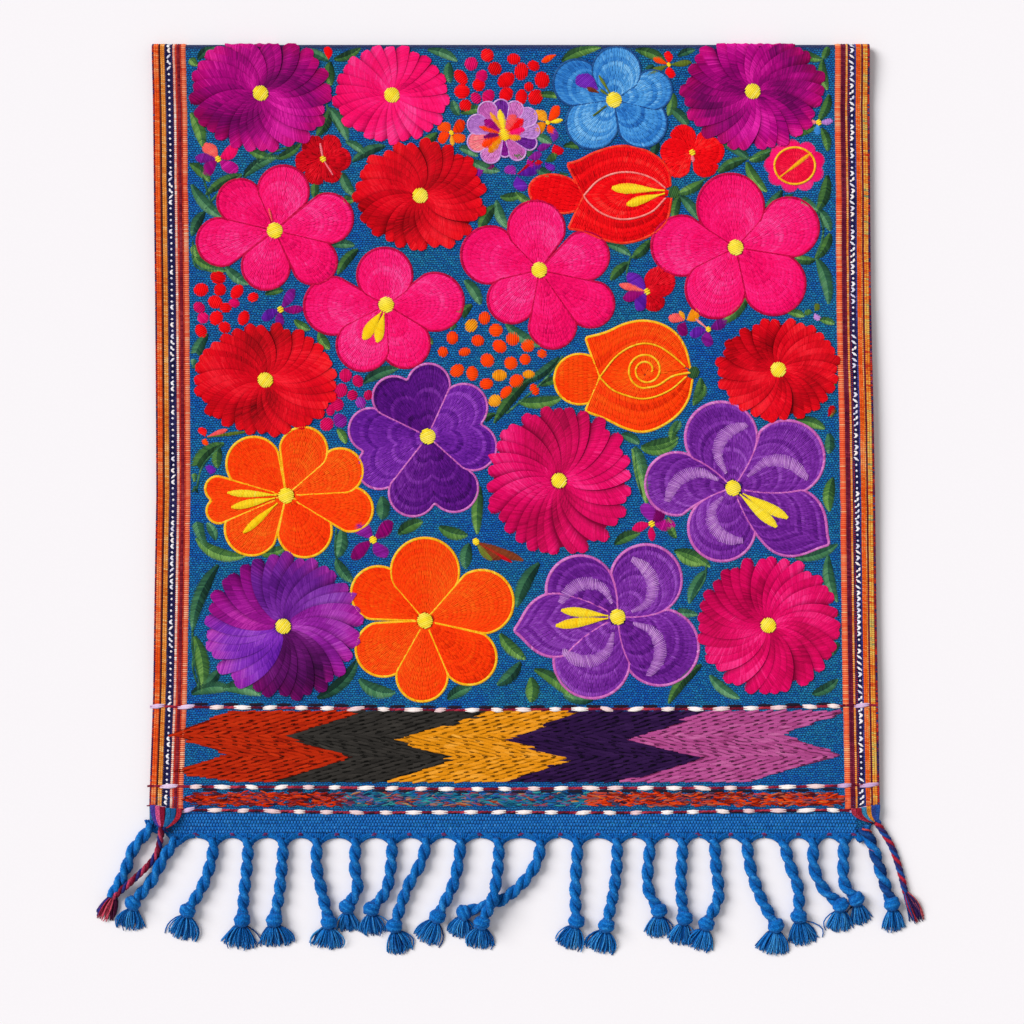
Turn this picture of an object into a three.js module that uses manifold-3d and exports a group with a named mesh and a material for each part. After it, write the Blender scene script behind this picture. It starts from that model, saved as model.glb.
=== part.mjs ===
// Embroidered table runner, folded once across its middle and laid flat, fringe forwards.
// Millimetres. X runs across the runner, Y along it with the fold at +Y, Z up from the surface.

import * as THREE from 'three';
import { mergeVertices } from 'three/addons/utils/BufferGeometryUtils.js';
import Module from 'manifold-3d';

const wasm = await Module();
wasm.setup();

// Woven cloth
const clothThickness = 2.4;     // ground weave with its embroidery
const layerGap = 0.4;           // between the two layers
const foldHeight = 7.2;         // outside height of the rolled fold
const foldPlace = 241.7;        // Y of the fold's outermost line
const frontLength = 420;        // fold to the front hem
const backLength = 396;         // fold to the hidden hem
const backInset = 1.5;          // the under layer stays this far inside the front one's sides
const foldLooseness = 34;       // from the fold to where the front layer has come down
const hemDrape = 20;            // over this length the front layer comes down to the surface
const cornerRise = 7;           // the side bands end this much before the hem band
const cornerWidth = 13;
const stationPitch = 24;        // of the sections along the cloth
const drapePitch = 5;
const foldSegments = 8;
const acrossSteps = 14;

// Fringe
const seam = 0.3;               // gap between separate pieces
const headerThickness = 2.2;
const headerDepth = 3.9;        // at a cord's root
const scallopDepth = 1.3;       // midway between two roots
const cordRadius = 3;
const cordTaper = 0.86;         // of the radius, at the knot
const cordSides = 6;
const cordSteps = 7;
const cordSettle = 0.88;        // a cord's centre lies this part of its radius above the surface
const knotRadius = 4.1;
const knotLength = 3.5;
const knotSides = 7;
const tuftNeck = 2.5;
const tuftSides = 7;
const tuftHeight = 2.4;         // half the height of a tuft where it leaves its knot
const tuftFlatness = 0.36;      // height of a tuft's end to its width
const cornerCordRadius = 1.9;

// The cloth's two sides, by distance from the fold.
const sideRows = [
  { along: 0, left: -189.5, right: 190.3 },
  { along: 135, left: -187.8, right: 191.1 },
  { along: 240, left: -187.3, right: 193.2 },
  { along: 346, left: -189, right: 194.8 },
  { along: 400, left: -191, right: 195.8 },
  { along: 420, left: -191.4, right: 196 },
];

// Where the front layer stands a little off the under one.
const liftSpots = [
  { across: -188, along: 120, reach: 58, rise: 1.3 },
  { across: -190, along: 285, reach: 46, rise: 0.9 },
  { across: 192, along: 205, reach: 70, rise: 1.5 },
  { across: 195, along: 352, reach: 34, rise: 0.8 },
  { across: -40, along: 96, reach: 70, rise: 0.7 },
  { across: 74, along: 250, reach: 80, rise: 0.8 },
  { across: -96, along: 300, reach: 64, rise: 0.6 },
];

// The twisted cords from left to right: across, and drop below the hem's end. A cord leaves the
// hem at root, runs by waist and neck to its knot, and its tuft ends at tip, spread wide. Rise
// lifts the neck where the cord crosses its neighbour.
const fringeCords = [
  { root: [-189.5, -5], waist: [-200, 8], neck: [-204, 19], knot: null, tip: [-208.5, 28.5] },
  { root: [-176.5, 2], waist: [-183, 11], neck: [-190, 24], knot: [-200, 36], tip: [-201, 50], spread: 15 },
  { root: [-156.6, 2], waist: [-158.5, 14], neck: [-163, 27], knot: [-171, 40], tip: [-174.5, 55], spread: 15 },
  { root: [-138.6, 2], waist: [-139.5, 17], neck: [-141, 31], knot: [-142, 45], tip: [-144, 60], spread: 19 },
  { root: [-120, 2], waist: [-121, 17], neck: [-122.5, 32], knot: [-125, 45], tip: [-124, 59], spread: 18 },
  { root: [-102, 2], waist: [-102.6, 16], neck: [-99.5, 31], knot: [-96, 46], tip: [-98, 60], spread: 17 },
  { root: [-81.4, 2], waist: [-82.4, 16], neck: [-81, 29], knot: [-86.5, 38], tip: [-85.5, 51], spread: 13 },
  { root: [-62.3, 2], waist: [-63.3, 18], neck: [-66, 30], knot: [-73.5, 39], tip: [-73, 53], spread: 14 },
  { root: [-43.7, 2], waist: [-47, 14], neck: [-54, 27], knot: [-61.5, 48], tip: [-58.5, 63], spread: 13 },
  { root: [-25.7, 2], waist: [-27.3, 14], neck: [-30, 26], knot: [-38.5, 43], tip: [-45.5, 57], spread: 14 },
  { root: [-5.6, 2], waist: [-6.4, 17], neck: [-9.5, 34], knot: [-15, 46], tip: [-16, 60], spread: 15, rise: 5.3 },
  { root: [16.7, 3], waist: [14, 15], neck: [-2, 33], knot: [-24.5, 41], tip: [-27, 54], spread: 13 },
  { root: [36.3, 2], waist: [35.2, 17], neck: [34.6, 31], knot: [35.2, 45.5], tip: [31, 60], spread: 15 },
  { root: [57, 2], waist: [56.5, 18], neck: [54.5, 33], knot: [51, 48], tip: [47.5, 62], spread: 15 },
  { root: [75, 2], waist: [73.2, 17], neck: [73.5, 29], knot: [79, 40], tip: [78, 54], spread: 14 },
  { root: [92, 2], waist: [91, 17], neck: [90.8, 31], knot: [92.5, 44], tip: [90.4, 58], spread: 14 },
  { root: [108.4, 2], waist: [109.4, 18], neck: [110.6, 33], knot: [104, 47], tip: [100.5, 61], spread: 14 },
  { root: [125.3, 2], waist: [127.5, 17], neck: [132.5, 32], knot: [141, 48], tip: [138.6, 63], spread: 17 },
  { root: [145, 3], waist: [148.2, 15], neck: [153, 29], knot: [153, 43], tip: [156, 58], spread: 16 },
  { root: [161.4, 2], waist: [161, 16], neck: [166, 28], knot: [175.2, 37], tip: [175.2, 51], spread: 14 },
  { root: [177.3, 2], waist: [176.8, 15], neck: [177.5, 26], knot: [183.6, 34], tip: [187, 47], spread: 12 },
  { root: [187.5, -4], waist: [192, 5], neck: [196.5, 19], knot: [202.5, 36.5], tip: [204, 51], spread: 12 },
];

// The many-coloured cords at the two corners, plied from the side bands' own threads.
const leftCornerCord =
  { root: [-184, -4.5], waist: [-188, 11], neck: [-198.5, 22.5], knot: [-210.5, 33], tip: [-216, 45], spread: 10,
    rise: 4.2, start: clothThickness + 2 * seam + cornerCordRadius };
const rightCornerCord =
  { root: [194.4, -7], waist: [202.5, 6], neck: [207, 19], knot: [210, 31], tip: [217, 46], spread: 9, rise: 0,
    start: cornerCordRadius };

const hemPlace = foldPlace - frontLength;

function blendRows(rows, along, column) {
  const last = rows.length - 1;
  let row = 0;
  while (row < last - 1 && along > rows[row + 1].along) row += 1;
  const from = rows[row];
  const to = rows[row + 1];
  const part = THREE.MathUtils.clamp((along - from.along) / (to.along - from.along), 0, 1);
  return THREE.MathUtils.lerp(from[column], to[column], part);
}

function liftAt(across, along) {
  let lift = 0;
  for (const spot of liftSpots) {
    const away = Math.hypot(across - spot.across, along - spot.along) / spot.reach;
    lift += spot.rise * Math.exp(-away * away);
  }
  const settled = THREE.MathUtils.smoothstep(frontLength - along, 0, 3 * hemDrape);
  const nearFold = THREE.MathUtils.smoothstep(along, 0, foldLooseness);
  return lift * settled * nearFold;
}

// Height of the front layer's underside above the surface.
function frontHeight(along) {
  const loose = foldHeight - 2 * clothThickness - layerGap;
  const fold = loose * (1 - THREE.MathUtils.smoothstep(along, foldHeight / 2, foldLooseness));
  const hem = THREE.MathUtils.smoothstep(frontLength - along, 0, hemDrape);
  return (clothThickness + layerGap) * hem + fold;
}

// How far the hem's end is drawn up at the two corners.
function cornerLift(across) {
  const { left, right } = sideRows[sideRows.length - 1];
  const inside = Math.min(across - left, right - across);
  return cornerRise * (1 - THREE.MathUtils.smoothstep(inside, 0, cornerWidth));
}

// The columns along which the cloth is divided lie closer together near its two sides.
function columnPart(part) {
  return part - (0.25 * Math.sin(2 * Math.PI * part)) / Math.PI;
}

// The hem's end, column by column from left to right.
function hemLine(gap) {
  const { left, right } = sideRows[sideRows.length - 1];
  const points = [];
  for (let i = 0; i <= acrossSteps; i += 1) {
    const across = THREE.MathUtils.lerp(left, right, columnPart(i / acrossSteps));
    points.push(new THREE.Vector2(across, hemPlace + cornerLift(across) - gap));
  }
  return points;
}

function hemLineAt(across, gap) {
  const points = hemLine(gap);
  let i = 1;
  while (i < points.length - 1 && across > points[i].x) i += 1;
  const part = (across - points[i - 1].x) / (points[i].x - points[i - 1].x);
  return THREE.MathUtils.lerp(points[i - 1].y, points[i].y, THREE.MathUtils.clamp(part, 0, 1));
}

function foldArc(shape, radius, clockwise) {
  const centre = foldPlace - foldHeight / 2;
  for (let i = 0; i <= foldSegments; i += 1) {
    const turn = clockwise ? Math.PI / 2 - (Math.PI * i) / foldSegments : (Math.PI * i) / foldSegments - Math.PI / 2;
    shape.lineTo(centre + radius * Math.cos(turn), foldHeight / 2 + radius * Math.sin(turn));
  }
}

function frontStations() {
  const stations = [];
  for (let along = stationPitch / 2; along < backLength; along += stationPitch) stations.push(along);
  for (let along = frontLength - hemDrape; along <= frontLength; along += drapePitch) stations.push(along);
  return stations;
}

// The folded cloth in section, from the hidden hem round the fold to the front hem and back.
function clothSection() {
  const stations = frontStations();
  const backStations = stations.filter((along) => along < backLength - drapePitch);
  const backEnd = foldPlace - backLength;
  const section = new THREE.Shape();
  section.moveTo(backEnd, 0);
  for (const along of [...backStations].reverse()) section.lineTo(foldPlace - along, 0);
  foldArc(section, foldHeight / 2, false);
  for (const along of stations) section.lineTo(foldPlace - along, frontHeight(along) + clothThickness);
  for (const along of [...stations].reverse()) section.lineTo(foldPlace - along, frontHeight(along));
  foldArc(section, foldHeight / 2 - clothThickness, true);
  for (const along of backStations) section.lineTo(foldPlace - along, clothThickness);
  section.lineTo(backEnd, clothThickness);
  return section;
}

// The section drawn out across the runner, then eased to its real sides, corners and lifts.
function clothGeometry() {
  const geometry = new THREE.ExtrudeGeometry(clothSection(), { depth: 1, steps: acrossSteps, bevelEnabled: false });
  const turned = new THREE.Matrix4().makeBasis(
    new THREE.Vector3(0, 1, 0), new THREE.Vector3(0, 0, 1), new THREE.Vector3(1, 0, 0));
  geometry.applyMatrix4(turned);
  const place = geometry.attributes.position;
  for (let i = 0; i < place.count; i += 1) {
    const part = columnPart(place.getX(i));
    const y = place.getY(i);
    const z = place.getZ(i);
    const along = foldPlace - y;
    const front = z > foldHeight / 2 || (along > foldHeight && z > clothThickness + layerGap / 2)
      || along > backLength + 1;
    const inset = front ? 0 : backInset * THREE.MathUtils.smoothstep(along, 0, foldLooseness);
    const left = blendRows(sideRows, along, 'left') + inset;
    const right = blendRows(sideRows, along, 'right') - inset;
    const x = THREE.MathUtils.lerp(left, right, part);
    const hemPart = front ? THREE.MathUtils.clamp((along - frontLength + hemDrape) / hemDrape, 0, 1) : 0;
    place.setXYZ(i, x, y + hemPart * cornerLift(x), z + (front ? liftAt(x, along) : 0));
  }
  return geometry;
}

function solidOf(geometry) {
  const bare = geometry.clone();
  bare.deleteAttribute('normal');
  bare.deleteAttribute('uv');
  const joined = mergeVertices(bare, 1e-4);
  return new wasm.Manifold(new wasm.Mesh({
    numProp: 3,
    vertProperties: new Float32Array(joined.attributes.position.array),
    triVerts: new Uint32Array(joined.index.array),
  }));
}

function geometryOf(solid) {
  const mesh = solid.getMesh();
  const geometry = new THREE.BufferGeometry();
  geometry.setAttribute('position', new THREE.BufferAttribute(new Float32Array(mesh.vertProperties), 3));
  geometry.setIndex(new THREE.BufferAttribute(new Uint32Array(mesh.triVerts), 1));
  geometry.computeVertexNormals();
  return geometry;
}

function hemPoint([across, drop], height) {
  return new THREE.Vector3(across, hemPlace - drop, height);
}

function cordRoute(row, radius) {
  const low = radius * cordSettle;
  const tail = row.knot ?? row.tip;
  const rise = row.rise ?? 0;
  return new THREE.CatmullRomCurve3([
    hemPoint(row.root, row.start ?? low),
    hemPoint(row.waist, low),
    hemPoint(row.neck, low + rise),
    hemPoint(tail, low * cordTaper + rise * 0.4),
  ], false, 'centripetal');
}

// One cord along its row's four points, thinning a little towards the knot.
function cordGeometry(row, radius, gap = 0) {
  const route = cordRoute(row, radius);
  const outside = radius + gap;
  const ring = new THREE.Shape(new THREE.EllipseCurve(0, 0, outside, outside).getPoints(cordSides).slice(0, -1));
  const geometry = new THREE.ExtrudeGeometry(ring, { steps: cordSteps, extrudePath: route, bevelEnabled: false });
  const place = geometry.attributes.position;
  const point = new THREE.Vector3();
  const spine = route.getSpacedPoints(cordSteps);
  for (let i = 0; i < place.count; i += 1) {
    point.fromBufferAttribute(place, i);
    const distances = spine.map((centre) => centre.distanceTo(point));
    const step = distances.indexOf(Math.min(...distances));
    const scale = THREE.MathUtils.lerp(1, cordTaper, step / cordSteps);
    point.sub(spine[step]).multiplyScalar(scale).add(spine[step]);
    place.setXYZ(i, point.x, point.y, point.z);
  }
  return geometry;
}

function knotGeometry(row, scale) {
  const knot = new THREE.SphereGeometry(1, knotSides, 4);
  knot.scale(knotRadius * scale, knotLength * scale, knotLength * scale);
  const centre = hemPoint(row.knot, knotLength * scale * cordSettle);
  knot.translate(centre.x, centre.y, centre.z);
  return knot;
}

// A tuft fans out flat from its knot to its tip.
function tuftGeometry(row) {
  const from = hemPoint(row.knot, 0);
  const to = hemPoint(row.tip, 0);
  const length = from.distanceTo(to);
  const tuft = new THREE.CylinderGeometry(tuftNeck, row.spread / 2, length, tuftSides, 1);
  const place = tuft.attributes.position;
  for (let i = 0; i < place.count; i += 1) {
    const down = 0.5 - place.getY(i) / length;
    const flat = THREE.MathUtils.lerp(tuftHeight / tuftNeck, tuftFlatness, down);
    place.setZ(i, place.getZ(i) * flat + THREE.MathUtils.lerp(tuftHeight, tuftFlatness * row.spread / 2, down) * 0.9);
  }
  const heading = Math.atan2(to.x - from.x, from.y - to.y);
  tuft.rotateZ(heading);
  tuft.translate((from.x + to.x) / 2, (from.y + to.y) / 2, 0);
  return tuft;
}

function fringeParts(row, radius, knotScale) {
  const parts = [solidOf(cordGeometry(row, radius))];
  if (row.knot && knotScale > 0) parts.push(solidOf(knotGeometry(row, knotScale)));
  if (row.knot) parts.push(solidOf(tuftGeometry(row)));
  return parts;
}

// The strip that the cords leave: straight along the hem's end, scalloped between the roots.
function headerGeometry() {
  const roots = fringeCords.map((row) => row.root[0]);
  const left = roots[0] - cordRadius / 2;
  const right = roots[roots.length - 1] + cordRadius / 2;
  const endLine = (across) => hemLineAt(across, seam);
  const strip = new THREE.Shape();
  strip.moveTo(left, endLine(left));
  for (const point of hemLine(seam)) {
    if (point.x > left && point.x < right) strip.lineTo(point.x, point.y);
  }
  strip.lineTo(right, endLine(right));
  strip.lineTo(right, endLine(right) - headerDepth);
  for (let i = roots.length - 1; i > 0; i -= 1) {
    for (const part of [0.22, 0.5, 0.78]) {
      const across = THREE.MathUtils.lerp(roots[i], roots[i - 1], part);
      const scallop = Math.sin(Math.PI * part);
      strip.lineTo(across, endLine(across) - THREE.MathUtils.lerp(headerDepth, scallopDepth, scallop));
    }
    if (i > 1) strip.lineTo(roots[i - 1], endLine(roots[i - 1]) - headerDepth);
  }
  strip.lineTo(left, endLine(left) - headerDepth);
  return new THREE.ExtrudeGeometry(strip, { depth: headerThickness, bevelEnabled: false });
}

// Everything that lies on the surface is cut flat there.
function flattened(solid) {
  const below = new THREE.BoxGeometry(600, 600, 20);
  below.translate(0, 0, -10);
  return solid.subtract(solidOf(below));
}

// The cloth's front hem, grown by the seam, so that no cord runs into it.
function hemClearance() {
  const line = hemLine(seam);
  const first = line[0];
  const last = line[line.length - 1];
  const outline = new THREE.Shape();
  outline.moveTo(first.x - seam, first.y);
  for (const point of line) outline.lineTo(point.x, point.y);
  outline.lineTo(last.x + seam, last.y);
  outline.lineTo(last.x + seam, hemPlace + 3 * hemDrape);
  outline.lineTo(first.x - seam, hemPlace + 3 * hemDrape);
  const block = new THREE.ExtrudeGeometry(outline, { depth: 4 * foldHeight, bevelEnabled: false });
  block.translate(0, 0, -foldHeight);
  return block;
}

function unionOf(parts) {
  return parts.reduce((whole, part) => whole.add(part));
}

function fringeSolid() {
  const parts = [solidOf(headerGeometry())];
  for (const row of fringeCords) parts.push(...fringeParts(row, cordRadius, 1));
  return flattened(unionOf(parts)).subtract(solidOf(hemClearance()));
}

// The room that a cord of the fringe takes, grown by twice the seam, round its end too.
function cordRoom(row) {
  const end = cordRoute(row, cordRadius).getPoint(1);
  const round = new THREE.SphereGeometry(cordRadius + seam, knotSides, 4);
  round.translate(end.x, end.y, end.z);
  return solidOf(cordGeometry(row, cordRadius, 2 * seam)).add(solidOf(round));
}

// The room that the header takes beside a corner, up to a seam above it.
function headerRoom(across) {
  const height = headerThickness + seam;
  const depth = cornerRise + headerDepth + seam;
  const room = new THREE.BoxGeometry(4 * cornerWidth, depth, height);
  room.translate(across, hemPlace + cornerRise - depth / 2, height / 2);
  return solidOf(room);
}

// A corner cord gives way where it lies against the cords beside it.
function cornerCordSolid(row, neighbours) {
  const cord = flattened(unionOf(fringeParts(row, cornerCordRadius, 0)));
  return cord.subtract(unionOf(neighbours.map(cordRoom)));
}

const group = new THREE.Group();

function addPiece(name, geometry, color, roughness) {
  const material = new THREE.MeshStandardMaterial({ color, roughness, metalness: 0 });
  const mesh = new THREE.Mesh(geometry, material);
  mesh.name = name;
  group.add(mesh);
  return mesh;
}

addPiece('runner_cloth', clothGeometry(), 0x0f5fa5, 0.9);
addPiece('fringe_front', geometryOf(fringeSolid()), 0x0b5caa, 0.85);
const leftCorner = cornerCordSolid(leftCornerCord, fringeCords.slice(0, 2)).subtract(headerRoom(leftCornerCord.root[0]));
const rightCorner = cornerCordSolid(rightCornerCord, fringeCords.slice(-1)).subtract(solidOf(hemClearance()));
addPiece('corner_cord_left', geometryOf(leftCorner), 0x7a1640, 0.85);
addPiece('corner_cord_right', geometryOf(rightCorner), 0x7a1640, 0.85);

// The origin is the middle of the whole outline, on the surface.
const bounds = new THREE.Box3().setFromObject(group);
const middle = bounds.getCenter(new THREE.Vector3());
for (const piece of group.children) piece.position.set(-middle.x, -middle.y, -bounds.min.z);

export default group;
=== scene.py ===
import math

import bmesh
import bpy
import numpy as np
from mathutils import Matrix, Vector, noise


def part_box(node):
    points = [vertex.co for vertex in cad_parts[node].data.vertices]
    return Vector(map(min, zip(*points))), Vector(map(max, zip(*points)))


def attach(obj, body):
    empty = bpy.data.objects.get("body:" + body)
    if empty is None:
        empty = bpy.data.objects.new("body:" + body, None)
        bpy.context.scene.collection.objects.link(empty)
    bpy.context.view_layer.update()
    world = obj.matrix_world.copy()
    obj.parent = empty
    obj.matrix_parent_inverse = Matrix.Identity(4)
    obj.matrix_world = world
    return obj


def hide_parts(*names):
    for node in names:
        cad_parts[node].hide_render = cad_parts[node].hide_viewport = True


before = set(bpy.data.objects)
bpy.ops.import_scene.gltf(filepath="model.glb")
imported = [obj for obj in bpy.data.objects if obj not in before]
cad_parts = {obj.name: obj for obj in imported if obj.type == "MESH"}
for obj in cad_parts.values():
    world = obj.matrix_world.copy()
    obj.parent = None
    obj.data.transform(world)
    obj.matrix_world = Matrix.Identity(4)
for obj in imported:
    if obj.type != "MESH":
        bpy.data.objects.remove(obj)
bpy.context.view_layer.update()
mm = 0.001

# The folded cloth. Millimetres: across from its middle line, along from its fold, heights upwards.
runner = {
    "thickness": 2.4,        # woven ground with its stitches
    "ground": 1.3,           # woven ground alone
    "layerGap": 0.4,
    "foldHeight": 7.2,
    "frontLength": 420,      # fold to front hem
    "backLength": 396,       # fold to the hidden hem
    "looseness": 34,         # from the fold to where the front layer has come down
    "hemDrape": 20,
    "cornerRise": 7,         # the side bands end this much before the hem band
    "cornerWidth": 13,
    "backInset": 1.5,
    "shift": 1.6,            # how far the needlework by the fold sits from it, beyond its own figures
    "shiftReach": 350,       # where along the cloth that has faded out
    "leafMargins": (18.4, 19),   # what leaves keep clear at the left and right
    "sides": ((0, -189.5, 190.3), (135, -187.8, 191.1), (240, -187.3, 193.2),
              (346, -189, 194.8), (400, -191, 195.8), (420, -191.4, 196)),     # along, left, right
    "lifts": ((-188, 120, 58, 1.3), (-190, 285, 46, 0.9), (192, 205, 70, 1.5), (195, 352, 34, 0.8),
              (-40, 96, 70, 0.7), (74, 250, 80, 0.8), (-96, 300, 64, 0.6)),    # across, along, reach, rise
}
sideTable = np.array(runner["sides"], float)
clothLow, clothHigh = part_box("runner_cloth")
foldPlace = clothHigh[1] / mm
acrossShift = clothLow[0] / mm - sideTable[-1, 1]
bendRadius = runner["foldHeight"] / 2
arcLength = math.pi * bendRadius
hemPlace = foldPlace - runner["frontLength"]


def smoothStep(value, low, high):
    part = np.clip((value - low) / (high - low), 0, 1)
    return part * part * (3 - 2 * part)


def sideAt(along, column):
    return np.interp(along, sideTable[:, 0], sideTable[:, column])


def insetAt(along):
    return runner["backInset"] * smoothStep(-along, 0, runner["looseness"])


def liftAt(across, along):
    lift = np.zeros_like(across)
    for spotAcross, spotAlong, reach, rise in runner["lifts"]:
        lift += rise * np.exp(-((across - spotAcross) ** 2 + (along - spotAlong) ** 2) / reach ** 2)
    settled = smoothStep(runner["frontLength"] - along, 0, 3 * runner["hemDrape"])
    return lift * settled * smoothStep(along, 0, runner["looseness"])


# height of the front layer's underside above the surface
def underside(across, along):
    gap = runner["thickness"] + runner["layerGap"]
    loose = runner["foldHeight"] - 2 * runner["thickness"] - runner["layerGap"]
    fold = loose * (1 - smoothStep(along, bendRadius, runner["looseness"]))
    hem = smoothStep(runner["frontLength"] - along, 0, runner["hemDrape"])
    return gap * hem + fold + liftAt(across, along)


def cornerLift(across):
    inside = np.minimum(across - sideTable[-1, 1], sideTable[-1, 2] - across)
    return runner["cornerRise"] * (1 - smoothStep(inside, 0, runner["cornerWidth"]))


# a place on the cloth's outer face, at a height above the woven ground, in the scene's metres;
# along goes on past the fold to the under layer where it is negative
def onCloth(across, along, height):
    across, along, height = np.broadcast_arrays(*(np.asarray(v, float) for v in (across, along, height)))
    run = along - bendRadius
    centre = foldPlace - bendRadius
    drape = np.clip((along - runner["frontLength"]) / runner["hemDrape"] + 1, 0, 1)
    angle = np.clip(-run / bendRadius, 0, math.pi)
    radius = bendRadius - runner["thickness"] + runner["ground"] + height
    y = np.where(run < 0, centre + radius * np.sin(angle), foldPlace - along + drape * cornerLift(across))
    y = np.where(run < -arcLength, centre + run + arcLength, y)
    z = np.where(run < 0, bendRadius + radius * np.cos(angle),
                 underside(across, along) + runner["ground"] + height)
    return np.stack([across + acrossShift, y, z], -1) * mm


def linear(text):
    value = np.array([int(text[i:i + 2], 16) for i in (1, 3, 5)]) / 255
    return np.where(value <= 0.04045, value / 12.92, ((value + 0.055) / 1.055) ** 2.4)


def toned(palette, value):
    steps = np.array([linear(colour) for colour in palette])
    return pointsAt(steps, np.arange(len(palette)), np.clip(value, 0, 1) * (len(palette) - 1))


def pointsAt(line, run, at):
    return np.stack([np.interp(at, run, line[:, k]) for k in range(line.shape[1])], -1)


def unit(reach):
    return reach / np.maximum(np.linalg.norm(reach, axis=-1, keepdims=True), 1e-6)


def newMaterial(name, roughness, sheen=0.0):
    material = bpy.data.materials.new(name)
    material.use_nodes = True
    shader = material.node_tree.nodes["Principled BSDF"]
    for key, value in (("Roughness", roughness), ("Specular IOR Level", 0.05), ("Sheen Weight", sheen),
                       ("Sheen Roughness", 0.4)):
        shader.inputs[key].default_value = value
    return material, material.node_tree, shader


# a new node: what is named is a socket or a setting, what is only listed goes to its sockets in order
def addNode(tree, kind, *listed, **named):
    node = tree.nodes.new("ShaderNode" + kind)
    for key, value in (*named.items(), *enumerate(listed)):
        key = key.replace("_", " ") if str(key).replace("_", " ") in node.inputs else key
        if isinstance(key, str) and key not in node.inputs:
            setattr(node, key, value)
        elif isinstance(value, bpy.types.NodeSocket):
            tree.links.new(value, node.inputs[key])
        else:
            node.inputs[key].default_value = value
    return node


def finishShader(tree, shader, colour, bump):
    tree.links.new(colour, shader.inputs["Base Color"])
    tree.links.new(bump, shader.inputs["Normal"])


# thread coloured stitch by stitch, its dye together with painted light and shade, with a fine spun grain
def threadMaterial(name, roughness, grainScale, grainDepth, sheen=0.0, shades=(0.88, 1.1)):
    material, tree, shader = newMaterial(name, roughness, sheen)
    colourAndShading = addNode(tree, "Attribute", attribute_name="threadColour").outputs["Color"]
    place = addNode(tree, "TexCoord").outputs["Object"]
    grain = addNode(tree, "TexNoise", Vector=place, Scale=grainScale, Detail=3.0).outputs["Fac"]
    shade = addNode(tree, "MapRange", grain, 0.3, 0.7, *shades).outputs["Result"]
    mixed = addNode(tree, "VectorMath", colourAndShading, operation="SCALE", Scale=shade)
    bump = addNode(tree, "Bump", Strength=0.6, Distance=grainDepth, Height=grain)
    finishShader(tree, shader, mixed.outputs[0], bump.outputs[0])
    return material


satinThread = threadMaterial("satinThread", 0.55, 1400, 0.00012)
ribThread = threadMaterial("ribThread", 0.75, 1700, 0.0002)
cordYarn = threadMaterial("cordYarn", 0.95, 1300, 0.0022, 0.05, (0.56, 1.34))


def addObject(name, data):
    made = bpy.data.objects.new(name, data)
    bpy.context.scene.collection.objects.link(made)
    return made


def addPiece(name, mesh, material):
    mesh.materials.append(material)
    piece = addObject(name, mesh)
    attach(piece, "root")
    return piece


# a mesh object from arrays of places and four-sided faces, coloured by an attribute holding dye together with
# painted light and shade; plan is its flat layout
def meshFromArrays(name, places, quads, colours, plan, material):
    mesh = bpy.data.meshes.new(name)
    mesh.vertices.add(len(places))
    mesh.vertices.foreach_set("co", np.asarray(places, np.float32).ravel())
    mesh.loops.add(quads.size)
    mesh.loops.foreach_set("vertex_index", quads.astype(np.int32).ravel())
    mesh.polygons.add(len(quads))
    mesh.polygons.foreach_set("loop_start", np.arange(0, quads.size, 4, dtype=np.int32))
    mesh.polygons.foreach_set("use_smooth", np.ones(len(quads), bool))
    colourAndShading = mesh.attributes.new("threadColour", "FLOAT_COLOR", "POINT")
    colourAndShading.data.foreach_set("color", np.insert(np.asarray(colours, np.float32), 3, 1, axis=1).ravel())
    flat = mesh.uv_layers.new(name="OFBake")
    low = plan.min(0)
    spread = max((plan.max(0) - low).max(), 1e-6)
    corners = plan if len(plan) == quads.size else (0.01 + 0.98 * (plan - low) / spread)[quads.ravel()]
    flat.data.foreach_set("uv", corners.astype(np.float32).ravel())
    mesh.update(calc_edges=True)
    mesh.validate()
    piece = addPiece(name, mesh, material)
    return piece


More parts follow.
